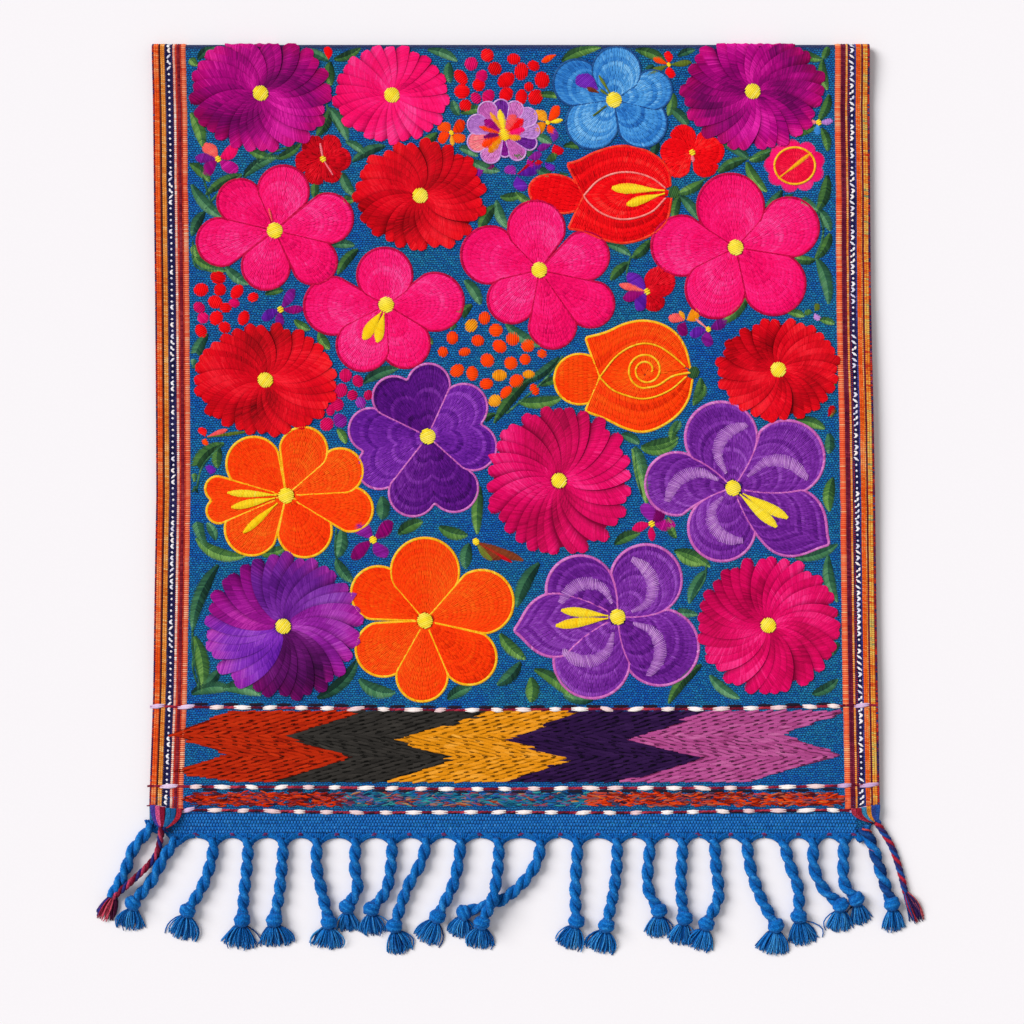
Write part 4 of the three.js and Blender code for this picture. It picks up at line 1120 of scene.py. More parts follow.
def streakWork(work, band):
    random = work.random
    middle = (band["low"] + band["high"]) / 2
    for low, high, palette in band["zones"]:
        for row in np.arange(band["low"], band["high"], band["rowPitch"]):
            across = np.arange(low, high, band["pitch"]) + random.uniform(-2, 2)
            count = len(across)
            across = across + random.normal(0, 1.2, count)
            inside = np.minimum(across - band["ends"][0], band["ends"][1] - across)
            taper = np.clip(inside / band["taper"], 0.2, 1)
            centres = np.stack([across, middle + (row - middle) * taper + random.normal(0, 0.25, count)], 1)
            turn = random.normal(0, 0.2, count)
            reach = np.stack([np.cos(turn), np.sin(turn)], 1) * random.uniform(1.6, 3.3, (count, 1))
            colours = toned(palette, random.uniform(0, 1, count))
            work.stitches(centres - reach, centres + reach, random.uniform(0.6, 1.15, count), colours,
                          low=random.uniform(0.1, 0.6, count), arch=0.45, bend=random.normal(0, 0.35, count))


arrowWork()
stitchAll({"edgings": edgings}, 720, edgingWork, "edgings")
stitchAll({"streaks": streaks}, 730, streakWork, "streaks")

# Side bands, from the outer edge inwards: width and thread of each stripe.
sideBands = {
    "sideBandLeft": {"column": 1, "inward": 1, "stripes": (
        (0.9, "selvage"), (2.5, "orangeRib"), (0.9, "brownRib"), (2.2, "ochreRib"), (1.2, "navyRib"),
        (2.4, "pickUp"), (0.7, "navyRib"), (1.3, "creamRib"), (0.9, "redRib"), (1.6, "maroonRib"),
        (0.7, "redRib"), (2.4, "paleLadder"))},
    "sideBandRight": {"column": 2, "inward": -1, "stripes": (
        (1.1, "selvage"), (2.4, "goldRib"), (0.9, "plumRib"), (0.6, "ochreRib"), (2.2, "orangeRib"),
        (0.8, "indigoRib"), (2.9, "pickUp"), (0.7, "navyRib"), (1.1, "ochreRib"), (2.6, "plumRib"),
        (2.9, "orangeLadder"))},
}
# Their ribs' spacing along the cloth, their threads, and the picked-up figures: below each kind, bars from
# one place to another and their breadth.
sideWeave = {
    "rib": 1.05, "ends": (12, 5.5),              # how far past the fold and how short of the corner's rise
    "threads": {
        "selvage": ("#1c1c50", "#2c2860", "#7a1834", "#d0341c", "#243c80"),
        "brownRib": ("#34101c", "#4c1c24", "#64302c"),
        "orangeRib": ("#e0400c", "#ff6420", "#ffa060"), "ochreRib": ("#d8641c", "#f89c40", "#ffc880"),
        "maroonRib": ("#641428", "#8a2230", "#a83c44"), "navyRib": ("#181438", "#262254", "#3c3870"),
        "indigoRib": ("#242460", "#3c3c8c", "#6c68b8"), "pickUp": ("#161234", "#221e4c", "#342e60"),
        "creamRib": ("#d86050", "#f8b8a0", "#fff4e4"), "redRib": ("#b02018", "#d03420", "#f0603c"),
        "goldRib": ("#d8401c", "#f89030", "#f4c860", "#7c9c70"),
        "plumRib": ("#50102c", "#701c38", "#903048"),
        "paleLadder": ("#ec5434", "#ff8a60", "#ffc49c"), "orangeLadder": ("#f4502c", "#ff7c50", "#ffc088")},
    "gaps": {"paleLadder": "#b42c1c", "orangeLadder": "#d83810"},
    "motif": ("#dcd8ee", "#fcf8fc", "#fff0ec"), "motifPitch": 3.1,
    "shapes": (
        (-0.1, ((0, -0.5, 0, 0.65, 2.1),)),
        (0.1, ((0.3, -1.2, -0.36, -0.1, 1.25), (-0.36, -0.2, 0.3, 1.15, 1.3))),
        (0.3, ((-0.42, 1.0, 0.42, -1.0, 1.35),)),
        (math.inf, ((-0.3, -1.2, -0.1, 0.7, 1.6), (0.0, 0.4, 0.42, 1.1, 1.2)))),
}


def sideWork(work, band):
    random, rib, inward = work.random, sideWeave["rib"], band["inward"]
    past, short = sideWeave["ends"]
    rows = np.arange(bendRadius - arcLength - past, runner["frontLength"] - runner["cornerRise"] - short, rib)
    edge = sideAt(np.abs(rows), band["column"]) + inward * insetAt(rows)
    drift = np.cumsum(random.normal(0, 0.03, len(rows)))
    drift = drift - np.linspace(drift[0], drift[-1], len(rows))
    start = 0.0
    for width, thread in band["stripes"]:
        middle = edge + inward * (start + width / 2) + np.clip(drift, -0.3, 0.3) * (start > 1)
        slow = np.array([noise.noise(Vector((start * 7, row / 23, 0))) for row in rows])
        tone = 0.5 + 0.5 * slow + random.normal(0, 0.14, len(rows))
        gap = sideWeave["gaps"].get(thread)
        count = 1 if width < 1.9 or gap else 2
        if gap:
            work.beads(np.stack([middle, rows + rib / 2], 1), width, rib * 1.1, linear(gap), low=-0.1,
                       rise=0.4)
        for strand in range(count):
            shift = (strand - (count - 1) / 2) * width / count
            work.beads(np.stack([middle + shift, rows + 0.25 * strand], 1), width / count * 1.14, rib * 1.1,
                       toned(sideWeave["threads"][thread], tone + random.normal(0, 0.07, len(rows))),
                       low=-0.05, rise=0.62 if thread != "pickUp" else 0.3)
        if thread == "pickUp":
            motifs(work, edge + inward * (start + width / 2), rows, width, inward)
        start += width


# white warps picked up over the dark ground: dots, slanting bars and hooks in turn
def motifs(work, middle, rows, width, inward):
    random = work.random
    at = np.arange(rows[0] + 1, rows[-1] - 1, sideWeave["motifPitch"])
    centre = np.stack([np.interp(at, rows, middle) + random.normal(0, 0.12, len(at)), at], 1)
    kind = np.array([noise.noise(Vector((a / 17, inward * 5, 0))) for a in at])
    kind = kind + random.normal(0, 0.1, len(at)) - 0.05 - 0.1 * inward
    shade = toned(sideWeave["motif"], random.uniform(0, 1, len(at)))
    low = -math.inf
    for high, bars in sideWeave["shapes"]:
        mine = (kind >= low) & (kind < high)
        for fromAcross, fromAlong, toAcross, toAlong, breadth in bars:
            start = centre[mine] + (fromAcross * width * inward, fromAlong)
            end = centre[mine] + (toAcross * width * inward, toAlong)
            work.stitches(start, end, breadth, shade[mine], low=0.3, arch=0.3, paintedEndShade=(0.94, 0.94))
        low = high


stitchAll(sideBands, 744, sideWork, "side bands", ribThread)

hemBand = {"from": 409.6, "rowPitch": 1.72, "pitch": 1.62, "ends": 12.5, "bead": (1.3, 1.85),
           "blue": ("#124896", "#1c6cc0", "#2e84d6", "#60aaea")}


def hemWork(work, band):
    for index, row in enumerate(np.arange(band["from"], runner["frontLength"], band["rowPitch"])):
        left, right = sideAt(row, 1) + band["ends"], sideAt(row, 2) - band["ends"]
        across = np.arange(left, right, band["pitch"]) + band["pitch"] / 2 * (index % 2)
        tone = 0.5 + work.random.normal(0, 0.1, len(across))
        along = row + 0.25 * np.sin(across / 17 + index) + work.random.normal(0, 0.08, len(across))
        work.beads(np.stack([across, along], 1), *band["bead"], toned(band["blue"], tone), low=0.05,
                   rise=0.85)


stitchAll({"hemBand": hemBand}, 760, hemWork, "hem band", ribThread)

# the woven ground: one closed cloth from the hidden hem, round the fold, to the front hem
sheetMesh = {
    "columns": 84,
    "backPitch": 9.0,
    "arcSteps": 10,
    "frontPitch": 4.6,
    "pucker": 0.16,
    "frontShare": 0.68,      # of the baked picture's height
    "stripeWidth": 17.5,     # of the edges' stripes, which end before the hem band
    "stripeEnd": 403,
}
edgeStripes = ((0.0, "#8c1c30"), (0.06, "#c8481c"), (0.2, "#5c1024"), (0.26, "#c07a24"), (0.42, "#1c1844"),
               (0.6, "#b82c3c"), (0.76, "#6c1428"), (0.88, "#d05030"))


def solid(text):
    return (*linear(text), 1)


def rampNode(tree, factor, stops, interpolation="LINEAR"):
    node = addNode(tree, "ValToRGB", factor)
    ramp = node.color_ramp
    ramp.interpolation = interpolation
    for index, (place, colour) in enumerate(stops):
        stop = ramp.elements.new(place) if index else ramp.elements[0]
        stop.position, stop.color = place, solid(colour)
    ramp.elements.remove(ramp.elements[-1])
    return node.outputs["Color"]


def groundMaterial():
    material, tree, shader = newMaterial("wovenGround", 0.8, 0.15)
    place = addNode(tree, "UVMap", uv_map="weave").outputs["UV"]
    wobble = addNode(tree, "TexNoise", Vector=place, Scale=420.0, Detail=1.0).outputs["Color"]
    shift = addNode(tree, "VectorMath", wobble, operation="SCALE", Scale=0.0016).outputs[0]
    moved = addNode(tree, "VectorMath", place, shift, operation="ADD").outputs[0]
    weave = addNode(tree, "TexBrick", offset=0.5, offset_frequency=2, Vector=moved, Scale=1000.0,
                    Brick_Width=1.5, Row_Height=1.15, Mortar_Size=0.24, Mortar_Smooth=0.9, Bias=-0.15,
                    Color1=solid("#1264b0"), Color2=solid("#248cc0"), Mortar=solid("#082c60"))
    cloud = addNode(tree, "TexNoise", Vector=place, Scale=22.0, Detail=3.0).outputs["Fac"]
    tint = rampNode(tree, cloud, ((0.35, "#c8e0ff"), (0.65, "#ffffe8")))
    teal = addNode(tree, "Mix", data_type="RGBA", blend_type="MULTIPLY", Factor=1.0, A=weave.outputs["Color"],
                   B=tint)
    # painted shade along the fold: the weave is darkened to deep navy within a few millimetres of it and
    # beyond it on the under layer
    apart = addNode(tree, "SeparateXYZ", moved)
    paintedFoldShade = addNode(tree, "MapRange", apart.outputs["Y"], 0.003, 0.0064, 0.85, 0.0)
    darker = addNode(tree, "Mix", data_type="RGBA", Factor=paintedFoldShade.outputs["Result"], A=teal.outputs["Result"],
                     B=solid("#221e52"))
    across = addNode(tree, "SeparateXYZ", addNode(tree, "UVMap", uv_map="edges").outputs["UV"]).outputs["X"]
    stripes = rampNode(tree, across, edgeStripes, "CONSTANT")
    inside = addNode(tree, "Math", across, 1.0, operation="LESS_THAN").outputs[0]
    striped = addNode(tree, "Mix", data_type="RGBA", Factor=inside, A=darker.outputs["Result"], B=stripes)
    bump = addNode(tree, "Bump", invert=True, Strength=0.9, Distance=0.0005, Height=weave.outputs["Fac"])
    finishShader(tree, shader, striped.outputs["Result"], bump.outputs["Normal"])
    return material


def buildSheet():
    arcEnd = bendRadius - arcLength
    backEnd = arcEnd - (runner["backLength"] - bendRadius)
    rows = np.concatenate([
        np.arange(backEnd, arcEnd - 3, sheetMesh["backPitch"]),
        np.linspace(arcEnd, bendRadius, sheetMesh["arcSteps"] + 1),
        np.arange(bendRadius + sheetMesh["frontPitch"], runner["frontLength"] - 1, sheetMesh["frontPitch"]),
        [runner["frontLength"]]])
    columns = sheetMesh["columns"]
    total = 2 * columns + 2                      # outer face, then the inner face back again
    mesh = bmesh.new()
    bmesh.ops.create_grid(mesh, x_segments=total, y_segments=len(rows) - 1, size=1)
    column = np.array([round((v.co.x + 1) / 2 * total) for v in mesh.verts])
    along = rows[[round((v.co.y + 1) / 2 * (len(rows) - 1)) for v in mesh.verts]]
    inner = (column > columns) & (column < total)
    part = np.where(inner, (total - 1 - column) / columns, np.where(column == total, 0, column / columns))
    depth, inset = np.abs(along), insetAt(along)
    left, right = sideAt(depth, 1) + inset, sideAt(depth, 2) - inset
    across = left + (right - left) * part
    rough = np.array([noise.noise(Vector((x / 9, a / 9, 0))) for x, a in zip(across, along)])
    height = np.where(inner, -runner["ground"], sheetMesh["pucker"] * rough * (along > 8))
    for vert, place in zip(mesh.verts, onCloth(across, along, height)):
        vert.co = place
    weave, baked, edges = (mesh.loops.layers.uv.new(name) for name in ("weave", "OFBake", "edges"))
    # distance from the nearer side, in widths of its striped band; far inside past the stripes' end
    inward = np.where(along > sheetMesh["stripeEnd"], 9,
                      np.minimum(across - left, right - across) / sheetMesh["stripeWidth"])
    front = sheetMesh["frontShare"]
    upward = np.where(along > 0, 1 - front * (1 - along / runner["frontLength"]),
                      (1 - front) * (along - backEnd) / -backEnd)
    for face in mesh.faces:
        face.smooth = True
        for loop in face.loops:
            i = loop.vert.index
            loop[weave].uv = (across[i] * mm, along[i] * mm)
            loop[edges].uv = (inward[i], 0)
            loop[baked].uv = (0.005 + 0.99 * column[i] / total, 0.005 + 0.99 * upward[i])
    bmesh.ops.remove_doubles(mesh, verts=mesh.verts, dist=1e-6)
    rim = [edge for edge in mesh.edges if edge.is_boundary and edge.calc_length() > 1.6 * mm]
    bmesh.ops.bridge_loops(mesh, edges=rim)
    bmesh.ops.recalc_face_normals(mesh, faces=mesh.faces)
    data = bpy.data.meshes.new("wovenRunner")
    mesh.to_mesh(data)
    mesh.free()
    piece = addPiece("wovenRunner", data, groundMaterial())
    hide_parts("runner_cloth")
    return piece


wovenRunner = buildSheet()
print("woven ground made")


# the ways sideways and outwards from a thread
def ringWays(ahead, outward=(0, 0, 1)):
    side = unit(np.cross(ahead, outward))
    return side, np.cross(side, ahead)


# collects round threads along lines of places in the scene's millimetres
class Yarnwork:
    def __init__(self, name, seed, columns):
        self.name, self.columns, self.random = name, columns, np.random.default_rng(seed)
        self.groups = []         # rings of places, their colours

    # lines is one for each thread; outward says which way the first quarter of each ring faces
    def tubes(self, lines, radii, colours, sides=8, outward=(0, 0, 1)):
        count, steps = lines.shape[:2]
        side, over = ringWays(unit(np.gradient(lines, axis=1)), outward)
        turn = np.linspace(0, 2 * math.pi, sides, endpoint=False)[:, None]
        ring = side[:, :, None] * np.cos(turn) + over[:, :, None] * np.sin(turn)
        places = lines[:, :, None] + ring * np.broadcast_to(radii, (count, steps))[..., None, None]
        places[..., 2] = np.maximum(places[..., 2], 0.1)
        self.groups.append((places, np.broadcast_to(colours, (count, steps, sides, 3))))

    def finish(self, slot, node):
        total = sum(len(places) for places, _ in self.groups)
        rows = math.ceil(total / self.columns)
        quads, plan = [], []
        used, cell = 0, 0
        for places, _ in self.groups:
            count, steps, sides = places.shape[:3]
            j, k = np.meshgrid(np.arange(steps - 1), np.arange(sides), indexing="ij")
            turned = (k + 1) % sides
            here, further = j * sides, (j + 1) * sides
            body = np.stack([here + k, further + k, further + turned, here + turned], -1)
            u = 0.06 + 0.88 * np.stack([k, k, k + 1, k + 1], -1) / sides
            v = 0.06 + 0.88 * np.stack([j, j + 1, j + 1, j], -1) / (steps - 1)
            m = np.arange(sides // 2 - 1)        # the faces that close each end
            foot = np.stack([m, m + 1, sides - 2 - m, sides - 1 - m], -1)
            footU = 0.06 + 0.88 * np.stack([m, m + 1, m + 1, m], -1) / len(m)
            footV = np.broadcast_to([0.01, 0.01, 0.04, 0.04], footU.shape)
            faces = np.concatenate([body.reshape(-1, 4), foot, foot[:, ::-1] + (steps - 1) * sides])
            flat = np.stack([np.concatenate([u.reshape(-1, 4), footU, footU[:, ::-1]]),
                             np.concatenate([v.reshape(-1, 4), footV, 1 - footV])], -1)
            cells = np.arange(cell, cell + count)
            corner = np.stack([cells % self.columns, cells // self.columns], -1)
            plan.append(((corner[:, None, None] + flat) / (self.columns, rows)).reshape(-1, 2))
            quads.append((used + np.arange(count)[:, None, None] * steps * sides + faces).reshape(-1, 4))
            used += count * steps * sides
            cell += count
        places, shades = (np.concatenate([part.reshape(-1, 3) for part in group])
                          for group in zip(*self.groups))
        piece = meshFromArrays(self.name, places * mm, np.concatenate(quads), shades, np.concatenate(plan),
                               cordYarn)
        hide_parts(node)


# Fringe cords: root, waist, neck, knot and tip of the tuft, each across and below the hem, then the tuft's
# spread and how far the neck rides over what lies beneath.
cords = (
    (-176.5, 2, -183, 11, -190, 24, -200, 36, -201, 50, 15, 0),
    (-156.6, 2, -158.5, 14, -163, 27, -171, 40, -174.5, 55, 15, 0),
    (-138.6, 2, -139.5, 17, -141, 31, -142, 45, -144, 60, 19, 0),
    (-120, 2, -121, 17, -122.5, 32, -125, 45, -124, 59, 18, 0),
    (-102, 2, -102.6, 16, -99.5, 31, -96, 46, -98, 60, 17, 0),
    (-81.4, 2, -82.4, 16, -81, 29, -86.5, 38, -85.5, 51, 13, 0),
    (-62.3, 2, -63.3, 18, -66, 30, -73.5, 39, -73, 53, 14, 0),
    (-43.7, 2, -47, 14, -54, 27, -61.5, 48, -58.5, 63, 13, 0),
    (-25.7, 2, -27.3, 14, -30, 26, -38.5, 43, -45.5, 57, 14, 0),
    (-5.6, 2, -6.4, 17, -9.5, 34, -15, 46, -16, 60, 15, 5.3),
    (16.7, 3, 14, 15, -2, 33, -24.5, 41, -27, 54, 13, 0),
    (36.3, 2, 35.2, 17, 34.6, 31, 35.2, 45.5, 31, 60, 15, 0),
    (57, 2, 56.5, 18, 54.5, 33, 51, 48, 47.5, 62, 15, 0),
    (75, 2, 73.2, 17, 73.5, 29, 79, 40, 78, 54, 14, 0),
    (92, 2, 91, 17, 90.8, 31, 92.5, 44, 90.4, 58, 14, 0),
    (108.4, 2, 109.4, 18, 110.6, 33, 104, 47, 100.5, 61, 14, 0),
    (125.3, 2, 127.5, 17, 132.5, 32, 141, 48, 138.6, 63, 17, 0),
    (145, 3, 148.2, 15, 153, 29, 153, 43, 156, 58, 16, 0),
    (161.4, 2, 161, 16, 166, 28, 175.2, 37, 175.2, 51, 14, 0),
    (177.3, 2, 176.8, 15, 177.5, 26, 183.6, 34, 187, 47, 12, 0),
    (187.5, -4, 192, 5, 196.5, 19, 202.5, 36.5, 204, 51, 12, 0))
sideCord = (-189.5, -5, -200, 8, -204.5, 20, -211.5, 33)         # ends under the corner cord, with no knot
cornerCords = {
    "left": {"route": (-184, -4.5, -188, 11, -198.5, 22.5, -210.5, 33, -216, 45, 10, 4.2), "start": 5.1,
             "plies": ("#7c1030", "#2a2c7c", "#c03c5c"),
             "tuft": ("#2a2c84", "#c03458", "#d85068", "#5c1440"),
             "warps": ((-189, "#4a3c9c"), (-186.6, "#d8588c"), (-184, "#8c1030"), (-180.8, "#1c70a8"),
                       (-178, "#155a94"), (-175, "#b82438"))},
    "right": {"route": (194.4, -7, 202.5, 6, 207, 19, 210, 31, 217, 46, 9, 0), "start": 3.0,
              "plies": ("#c0203c", "#1c50a4", "#382c70"),
              "tuft": ("#1c50a4", "#c8304c", "#3c2470", "#d05c64"),
              "warps": ((194.6, "#2454a8"), (192.4, "#304898"), (190, "#e08c28"), (187.4, "#3c8cb8"),
                        (184.8, "#a01830"), (182, "#b83048"))},
}
yarn = {
    "low": 2.64, "plyRadius": 2.05, "plyOffset": 1.36, "turn": 17.0, "step": 1.2, "knot": 4.3,
    "tuftYarns": 56,
    "tuftYarnRadius": 0.36, "blue": ("#05306a", "#0b58a8", "#1474c6", "#46a0e2"),
    "header": ("#064288", "#0b5cac", "#1c78c4"), "fleck": ("#5c2868", "#903c6c"),
    "corner": {"low": 1.7, "radius": 1.0, "offset": 0.95, "turn": 10.5, "tuftYarns": 28, "warpStart": 405.5,
               "warpHeight": 1.6, "warpRadii": (0.52, 0.42)},
    "deepBlue": ("#04204c", "#123c80", "#2860a4"), "red": ("#8c1c34", "#c83048", "#f08058"),
}


def underHem(across, drop, height):
    return np.stack(np.broadcast_arrays(across + acrossShift, hemPlace - drop, height), -1)


def cordRoute(row, low, rise, start=None):
    across, drop = np.array(row[0::2], float), np.array(row[1::2], float)
    heights = [low if start is None else start, low, low + rise, low * 0.95 + rise * 0.4]
    return smoothLine(underHem(across, drop, heights), 400)


# the brightness round and across a strand's eight sides: painted light on the side that faces outward and
# painted shade on the side facing what it is laid round, stripes in turn for its spun strands, and random
# mottling
def strandTone(level, swing, twist, spread, work, steps):
    face = np.sin(np.linspace(0, 2 * math.pi, 8, endpoint=False))
    return level + swing * face + np.tile([twist, -twist], 4) + work.random.normal(0, spread, (steps, 8))


# plies laid round a route, all the same way; colours is one palette for each
def plied(work, route, offset, radius, turn, colours, phase, ends=(1.0, 0.7)):
    steps = int(runOf(route)[-1] / yarn["step"])
    middle = spaced(route, steps)
    side, over = ringWays(unit(np.gradient(middle, axis=0)))
    run = runOf(middle)
    close = np.interp(run / run[-1], (0, 0.06, 0.9, 1), (ends[0], 1, 1, ends[1]))
    for index, palette in enumerate(colours):
        angle = phase + 2 * math.pi * (run / turn + index / len(colours)) + 0.25 * np.sin(run / 6 + phase)
        outward = side * np.cos(angle)[:, None] + over * np.sin(angle)[:, None]
        line = middle + outward * (offset * close)[:, None]
        tone = strandTone(0.4, 0.26, 0.08, 0.09, work, steps)
        work.tubes(line[None], radius * (0.85 + 0.15 * close), toned(palette, tone)[None],
                   outward=outward[None])


# a mottled ball with one strand wound nearly twice about it
def knot(work, centre, ahead, size, palette):
    side, over = ringWays(ahead)
    way = np.linspace(-1, 1, 9)
    ball = centre + ahead * way[:, None] * size * 0.92
    mottled = work.random.uniform(0.3, 0.6, (9, 10))
    work.tubes(ball[None], size * np.sqrt(1.02 - way ** 2), toned(palette, mottled)[None], sides=10)
    part = np.linspace(0, 1, 34)
    turns = part * 2 * math.pi * 1.9
    angle = work.random.uniform(0.2, 1.4) + turns
    outward = side * np.cos(angle)[:, None] + over * np.sin(angle)[:, None] * 0.95
    advance = part - 0.5 + 0.16 * np.sin(turns + work.random.uniform(0, 6))
    line = centre + ahead * advance[:, None] * size + outward * (size * (0.67 - 0.42 * advance ** 2))[:, None]
    thick = size * 0.4 * np.interp(part, (0, 0.12, 0.88, 1), (0.7, 1, 1, 0.7))
    tone = strandTone(0.42, 0.2, 0.05, 0.09, work, 34)
    work.tubes(line[None], thick, toned(palette, tone)[None], outward=outward[None])


def tuft(work, foot, tip, spread, colours, count):
    random = work.random
    reach = tip - foot
    length = np.linalg.norm(reach[:2])
    ahead = np.array([reach[0], reach[1], 0]) / length
    beside = np.array([-ahead[1], ahead[0], 0])
    fan = np.sort(random.uniform(-1, 1, count))
    layer = random.uniform(0, 1, count)
    core = np.arange(count) % 8 == 3             # a few thick ones fill the middle, dark as painted shade inside the tuft
    layer, fan = np.where(core, 0.3, layer), np.where(core, fan * 0.8, fan)
    stray = (random.uniform(size=count) < 0.08) & ~core
    part = np.linspace(0, 1, 6)
    goes = length * (1 - 0.2 * fan ** 2) * random.uniform(0.94, 1.1, count) * np.where(stray, 1.06, 1)
    goes = goes * np.where(core, 0.86, 1)
    wide = fan * spread * 0.54 * np.where(stray, 1.22, 1)
    bow = random.normal(0, 0.7, count) + np.where(stray, 2.2 * np.sign(fan), 0)
    along = goes[:, None] * part
    across = wide[:, None] * (0.2 + 0.8 * part ** 0.65) + bow[:, None] * np.sin(math.pi * part)
    top = 1.1 + 3.4 * layer[:, None] * (1 - 0.35 * fan[:, None] ** 2)
    arched = 0.72 + 0.6 * np.sin(math.pi * np.clip(part * 1.1, 0, 1)) * (1 - part)
    height = top * arched * (1 - 0.62 * part ** 2)
    lines = foot + ahead * along[..., None] + beside * across[..., None]
    lines[..., 2] = np.maximum(height, 0.5)
    # painted light and shade: yarns lying higher are brighter, and each is brighter on top and darker
    # underneath. Each yarn also brightens towards its end and darkens at its foot.
    tone = 0.16 + 0.46 * layer[:, None] + 0.2 * part - 0.14 * (part == 0) + random.normal(0, 0.15, (count, 1))
    tone = np.where(core[:, None], 0.12, tone)[..., None] + (0, 0.1, 0, -0.15)
    picked = np.arange(count) * len(colours) // count
    shades = np.stack([toned(colours[which], own) for which, own in zip(picked, tone)])
    thick = yarn["tuftYarnRadius"] * np.where(core, 3.2, 1)[:, None] * (0.8, 1, 1, 1, 0.95, 0.7)
    work.tubes(lines, thick, shades, sides=4)


def fringeWork():
    plies, tufts = Yarnwork("fringeCords", 800, 22), Yarnwork("fringeTufts", 801, 30)
    blue, low, offset, radius, turn = (yarn[key] for key in ("blue", "low", "plyOffset", "plyRadius", "turn"))
    for index, (*row, spread, rise) in enumerate(cords):
        route = cordRoute(row[:8], low, rise)
        used = (blue, blue)
        if index == len(cords) - 1:              # a red strand starts down this one
            used = (yarn["deepBlue"], blue)
            plied(plies, route[:190], 2.5, 0.55, 12, (yarn["red"],), 0.9)
        plied(plies, route, offset, radius, turn * plies.random.uniform(0.92, 1.08), used,
              plies.random.uniform(-0.3, 0.5))
        tip = underHem(*row[8:10], 1.0)
        ahead = unit((tip - route[-1]) * (1, 1, 0))
        centre = route[-1] * (1, 1, 0) + (0, 0, 3.5 + 0.4 * rise)
        knot(plies, centre, unit(0.6 * unit(route[-1] - route[-12]) + 0.4 * ahead), yarn["knot"], blue)
        tuft(tufts, centre + ahead * 2.8, tip, spread, (blue,), yarn["tuftYarns"])
    plied(plies, cordRoute(sideCord, low, 0), offset, radius, turn, (blue, blue), 0.2)
    plies.finish("cord_blue", "fringe_front")
    tufts.finish("cord_blue", "fringe_front")


# strands of the hem that sweep down into the cords, and small dark red flecks between these
def headerWork():
    work = Yarnwork("fringeHeader", 810, 16)
    random = work.random
    # painted light and shade round each strand's six sides: brighter on top, darker underneath
    rounded = np.array([0, 0.16, 0.24, 0.16, 0, -0.3])

    def strand(across, drop, height, radii, tone, palette=yarn["header"]):
        line = underHem(across, drop - cornerLift(across), height)
        work.tubes(line[None], radii, toned(palette, tone)[None], sides=6)

    roots = [sideCord[0]] + [row[0] for row in cords]
    for root in roots:                           # straight down into the cord
        for step in range(-3, 4):
            across = root + step * np.linspace(1.35, 0.5, 6) + random.normal(0, 0.1)
            tone = np.tile(0.46 + 0.14 * (step % 2) - 0.1 * abs(step) + rounded, (6, 1))
            strand(across, np.linspace(-0.9, 5, 6), np.linspace(1.5, 2.5, 6) - 0.12 * abs(step),
                   np.linspace(0.72, 0.62, 6), tone)
    part = np.linspace(0, 1, 8)
    for leftRoot, rightRoot in zip(roots[:-1], roots[1:]):
        middle = (leftRoot + rightRoot) / 2
        for root, way in ((leftRoot, 1), (rightRoot, -1)):
            for step in range(5):
                start = middle + way * (0.4 - 1.1 * random.uniform())
                end = root + way * (2.7 - 0.55 * step)
                low = 1.35 - 0.55 * step
                drop = low + (3.8 + 0.3 * step - low) * part ** 2.6
                height = 0.85 + 0.18 * step + 1.1 * part ** 1.5 + random.normal(0, 0.05)
                tone = 0.5 + 0.12 * (step % 2) - 0.3 * part[:, None] ** 4 + rounded
                radii = np.interp(part, (0, 0.1, 1), (0.45, 0.58, 0.62))
                strand(start + (end - start) * part, drop, height, radii, tone)
        for fleck in range(2):
            across = middle + np.linspace(-1.3, 1.1, 4) + random.normal(0, 0.4)
            drop = -0.9 + 0.7 * fleck + 0.35 * np.abs(np.linspace(-1, 1, 4))
            tone = np.full((4, 6), random.uniform())
            strand(across, drop, 2.35, (0.2, 0.34, 0.34, 0.2), tone, yarn["fleck"])
    work.finish("cord_blue", "fringe_front")


# one colour's shares, from its dark side to its bright one
def shadesOf(colour, shares):
    tints = [np.minimum(1, linear(colour) * share) ** (1 / 2.2) for share in shares]
    return ["#%02x%02x%02x" % tuple(int(round(255 * c)) for c in tint) for tint in tints]


def cornerWork(side):
    cord, made = cornerCords[side], yarn["corner"]
    work = Yarnwork("cornerCord" + side.capitalize(), 820 + len(side), 12)
    *row, spread, rise = cord["route"]
    route = cordRoute(row[:8], made["low"], rise, cord["start"])
    plies = [shadesOf(colour, (0.45, 0.9, 1.25)) for colour in cord["plies"]]
    plied(work, route, made["offset"], made["radius"], made["turn"], plies, 0.4, ends=(1.4, 0.8))
    tip = underHem(*row[8:10], 0.8)
    yarns = [shadesOf(colour, (0.4, 0.85, 1.2)) for colour in cord["tuft"]]
    tuft(work, route[-1] - (tip - route[-1]) * (0.05, 0.05, 0), tip, spread, yarns, made["tuftYarns"])
    part = np.linspace(0, 1, 8)[:, None]
    for across, colour in cord["warps"]:         # the side band's threads, gathered into the cord
        start = onCloth(across, made["warpStart"], made["warpHeight"]) / mm
        end = route[3] + (0.2 * (start[0] - route[3][0]), 0, 0)
        for strand in (-0.9, -0.3, 0.3, 0.9):
            line = start + (end - start) * part
            line[:, 0] = start[0] + strand + (end[0] - 0.6 * strand - start[0]) * part[:, 0] ** 2.8
            # painted light and shade: each strand brighter on top, darker underneath
            tone = 0.5 + np.array([0, 0.2, 0.3, 0.2, 0, -0.3]) + work.random.normal(0, 0.14, (8, 1))
            work.tubes(line[None], np.linspace(*made["warpRadii"], 8),
                       toned(shadesOf(colour, (0.45, 0.85, 1.2)), tone)[None], sides=6)
    work.finish("cord_mixed", "corner_cord_" + side)


fringeWork()
headerWork()
for side in cornerCords:
    cornerWork(side)
print("fringe twisted and knotted")

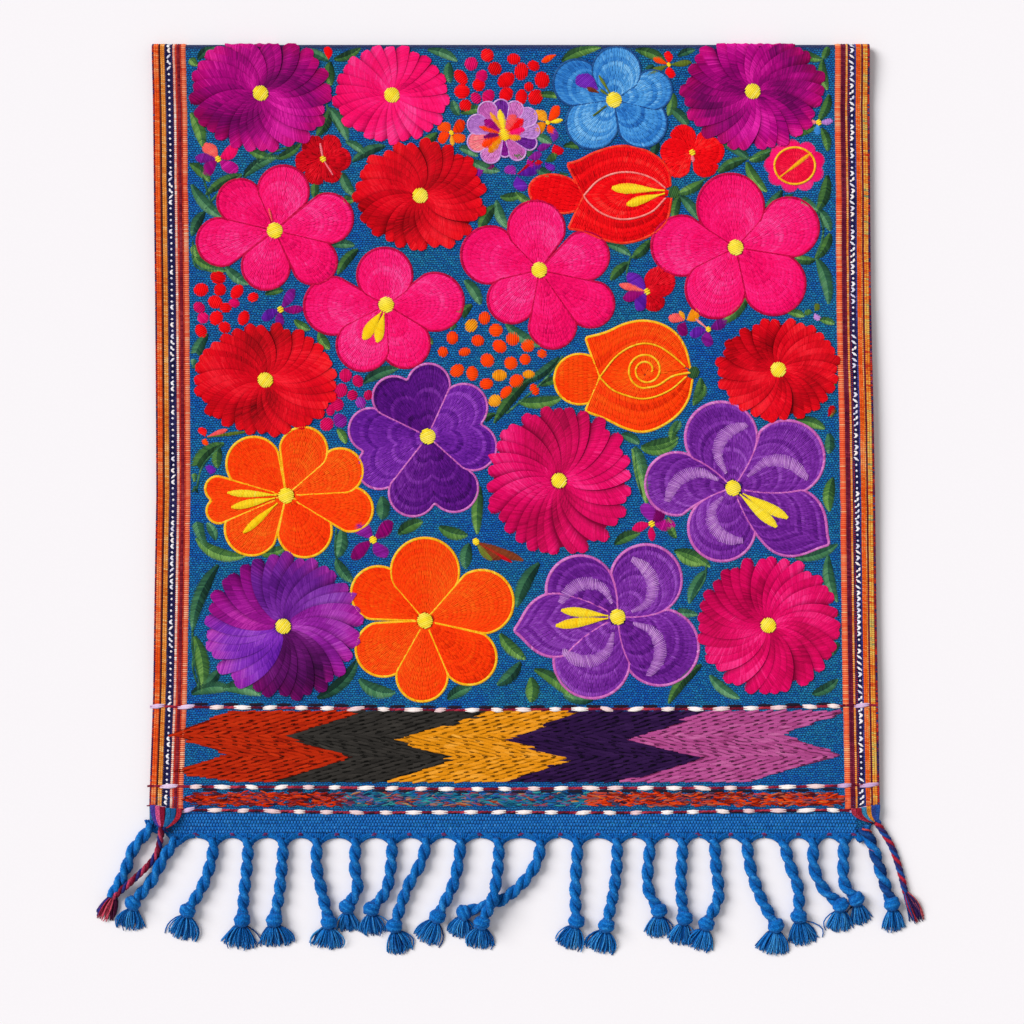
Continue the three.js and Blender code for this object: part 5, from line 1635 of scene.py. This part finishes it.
# plain pale floor, soft studio light and a camera looking straight down
studio = {
    "view": (0.0008, -0.0065), "lens": 85, "sensor": 36, "frameWidth": 0.5442,
    "floorSize": 6.0, "floorColour": (0.93, 0.897, 0.922),
    "key": {"from": (-0.75, 0.45, 0.72), "level": 3.1, "softness": 36},
    "worldStrength": 0.42, "seenColour": (0.95, 0.918, 0.942),
}


def buildStudio():
    mesh = bmesh.new()
    bmesh.ops.create_grid(mesh, x_segments=1, y_segments=1, size=studio["floorSize"] / 2)
    data = bpy.data.meshes.new("floor")
    mesh.to_mesh(data)
    mesh.free()
    material, tree, shader = newMaterial("paperFloor", 0.9)
    place = addNode(tree, "TexCoord").outputs["Object"]
    paper = addNode(tree, "TexNoise", Vector=place, Scale=900.0, Detail=2.0).outputs["Fac"]
    shade = addNode(tree, "Mix", data_type="RGBA", Factor=paper, B=(*studio["floorColour"], 1),
                    A=(*(0.97 * c for c in studio["floorColour"]), 1))
    tree.links.new(shade.outputs["Result"], shader.inputs["Base Color"])
    data.materials.append(material)
    addObject("floor", data)

    sun = bpy.data.lights.new("key", "SUN")
    sun.energy, sun.angle = studio["key"]["level"], math.radians(studio["key"]["softness"])
    aim = -Vector(studio["key"]["from"])
    addObject("key", sun).rotation_euler = aim.to_track_quat("-Z", "Y").to_euler()

    world = bpy.data.worlds.new("studio")
    world.use_nodes = True
    tree = world.node_tree
    light = tree.nodes["Background"]
    light.inputs["Color"].default_value = (1, 1, 1, 1)
    light.inputs["Strength"].default_value = studio["worldStrength"]
    seen = addNode(tree, "Background", Color=(*studio["seenColour"], 1), Strength=1.0)
    path = addNode(tree, "LightPath").outputs
    looked = addNode(tree, "Math", path["Is Glossy Ray"], path["Is Transmission Ray"], operation="MAXIMUM")
    looked = addNode(tree, "Math", path["Is Camera Ray"], looked.outputs[0], operation="MAXIMUM")
    mixed = addNode(tree, "MixShader", looked.outputs[0], light.outputs[0], seen.outputs[0])
    tree.links.new(mixed.outputs[0], tree.nodes["World Output"].inputs["Surface"])
    bpy.context.scene.world = world

    view = bpy.data.cameras.new("camera")
    view.lens, view.sensor_width = studio["lens"], studio["sensor"]
    camera = addObject("camera", view)
    camera.location = (*studio["view"], studio["frameWidth"] * studio["lens"] / studio["sensor"])
    bpy.context.scene.camera = camera
    bpy.context.scene.view_settings.view_transform = "Standard"


buildStudio()
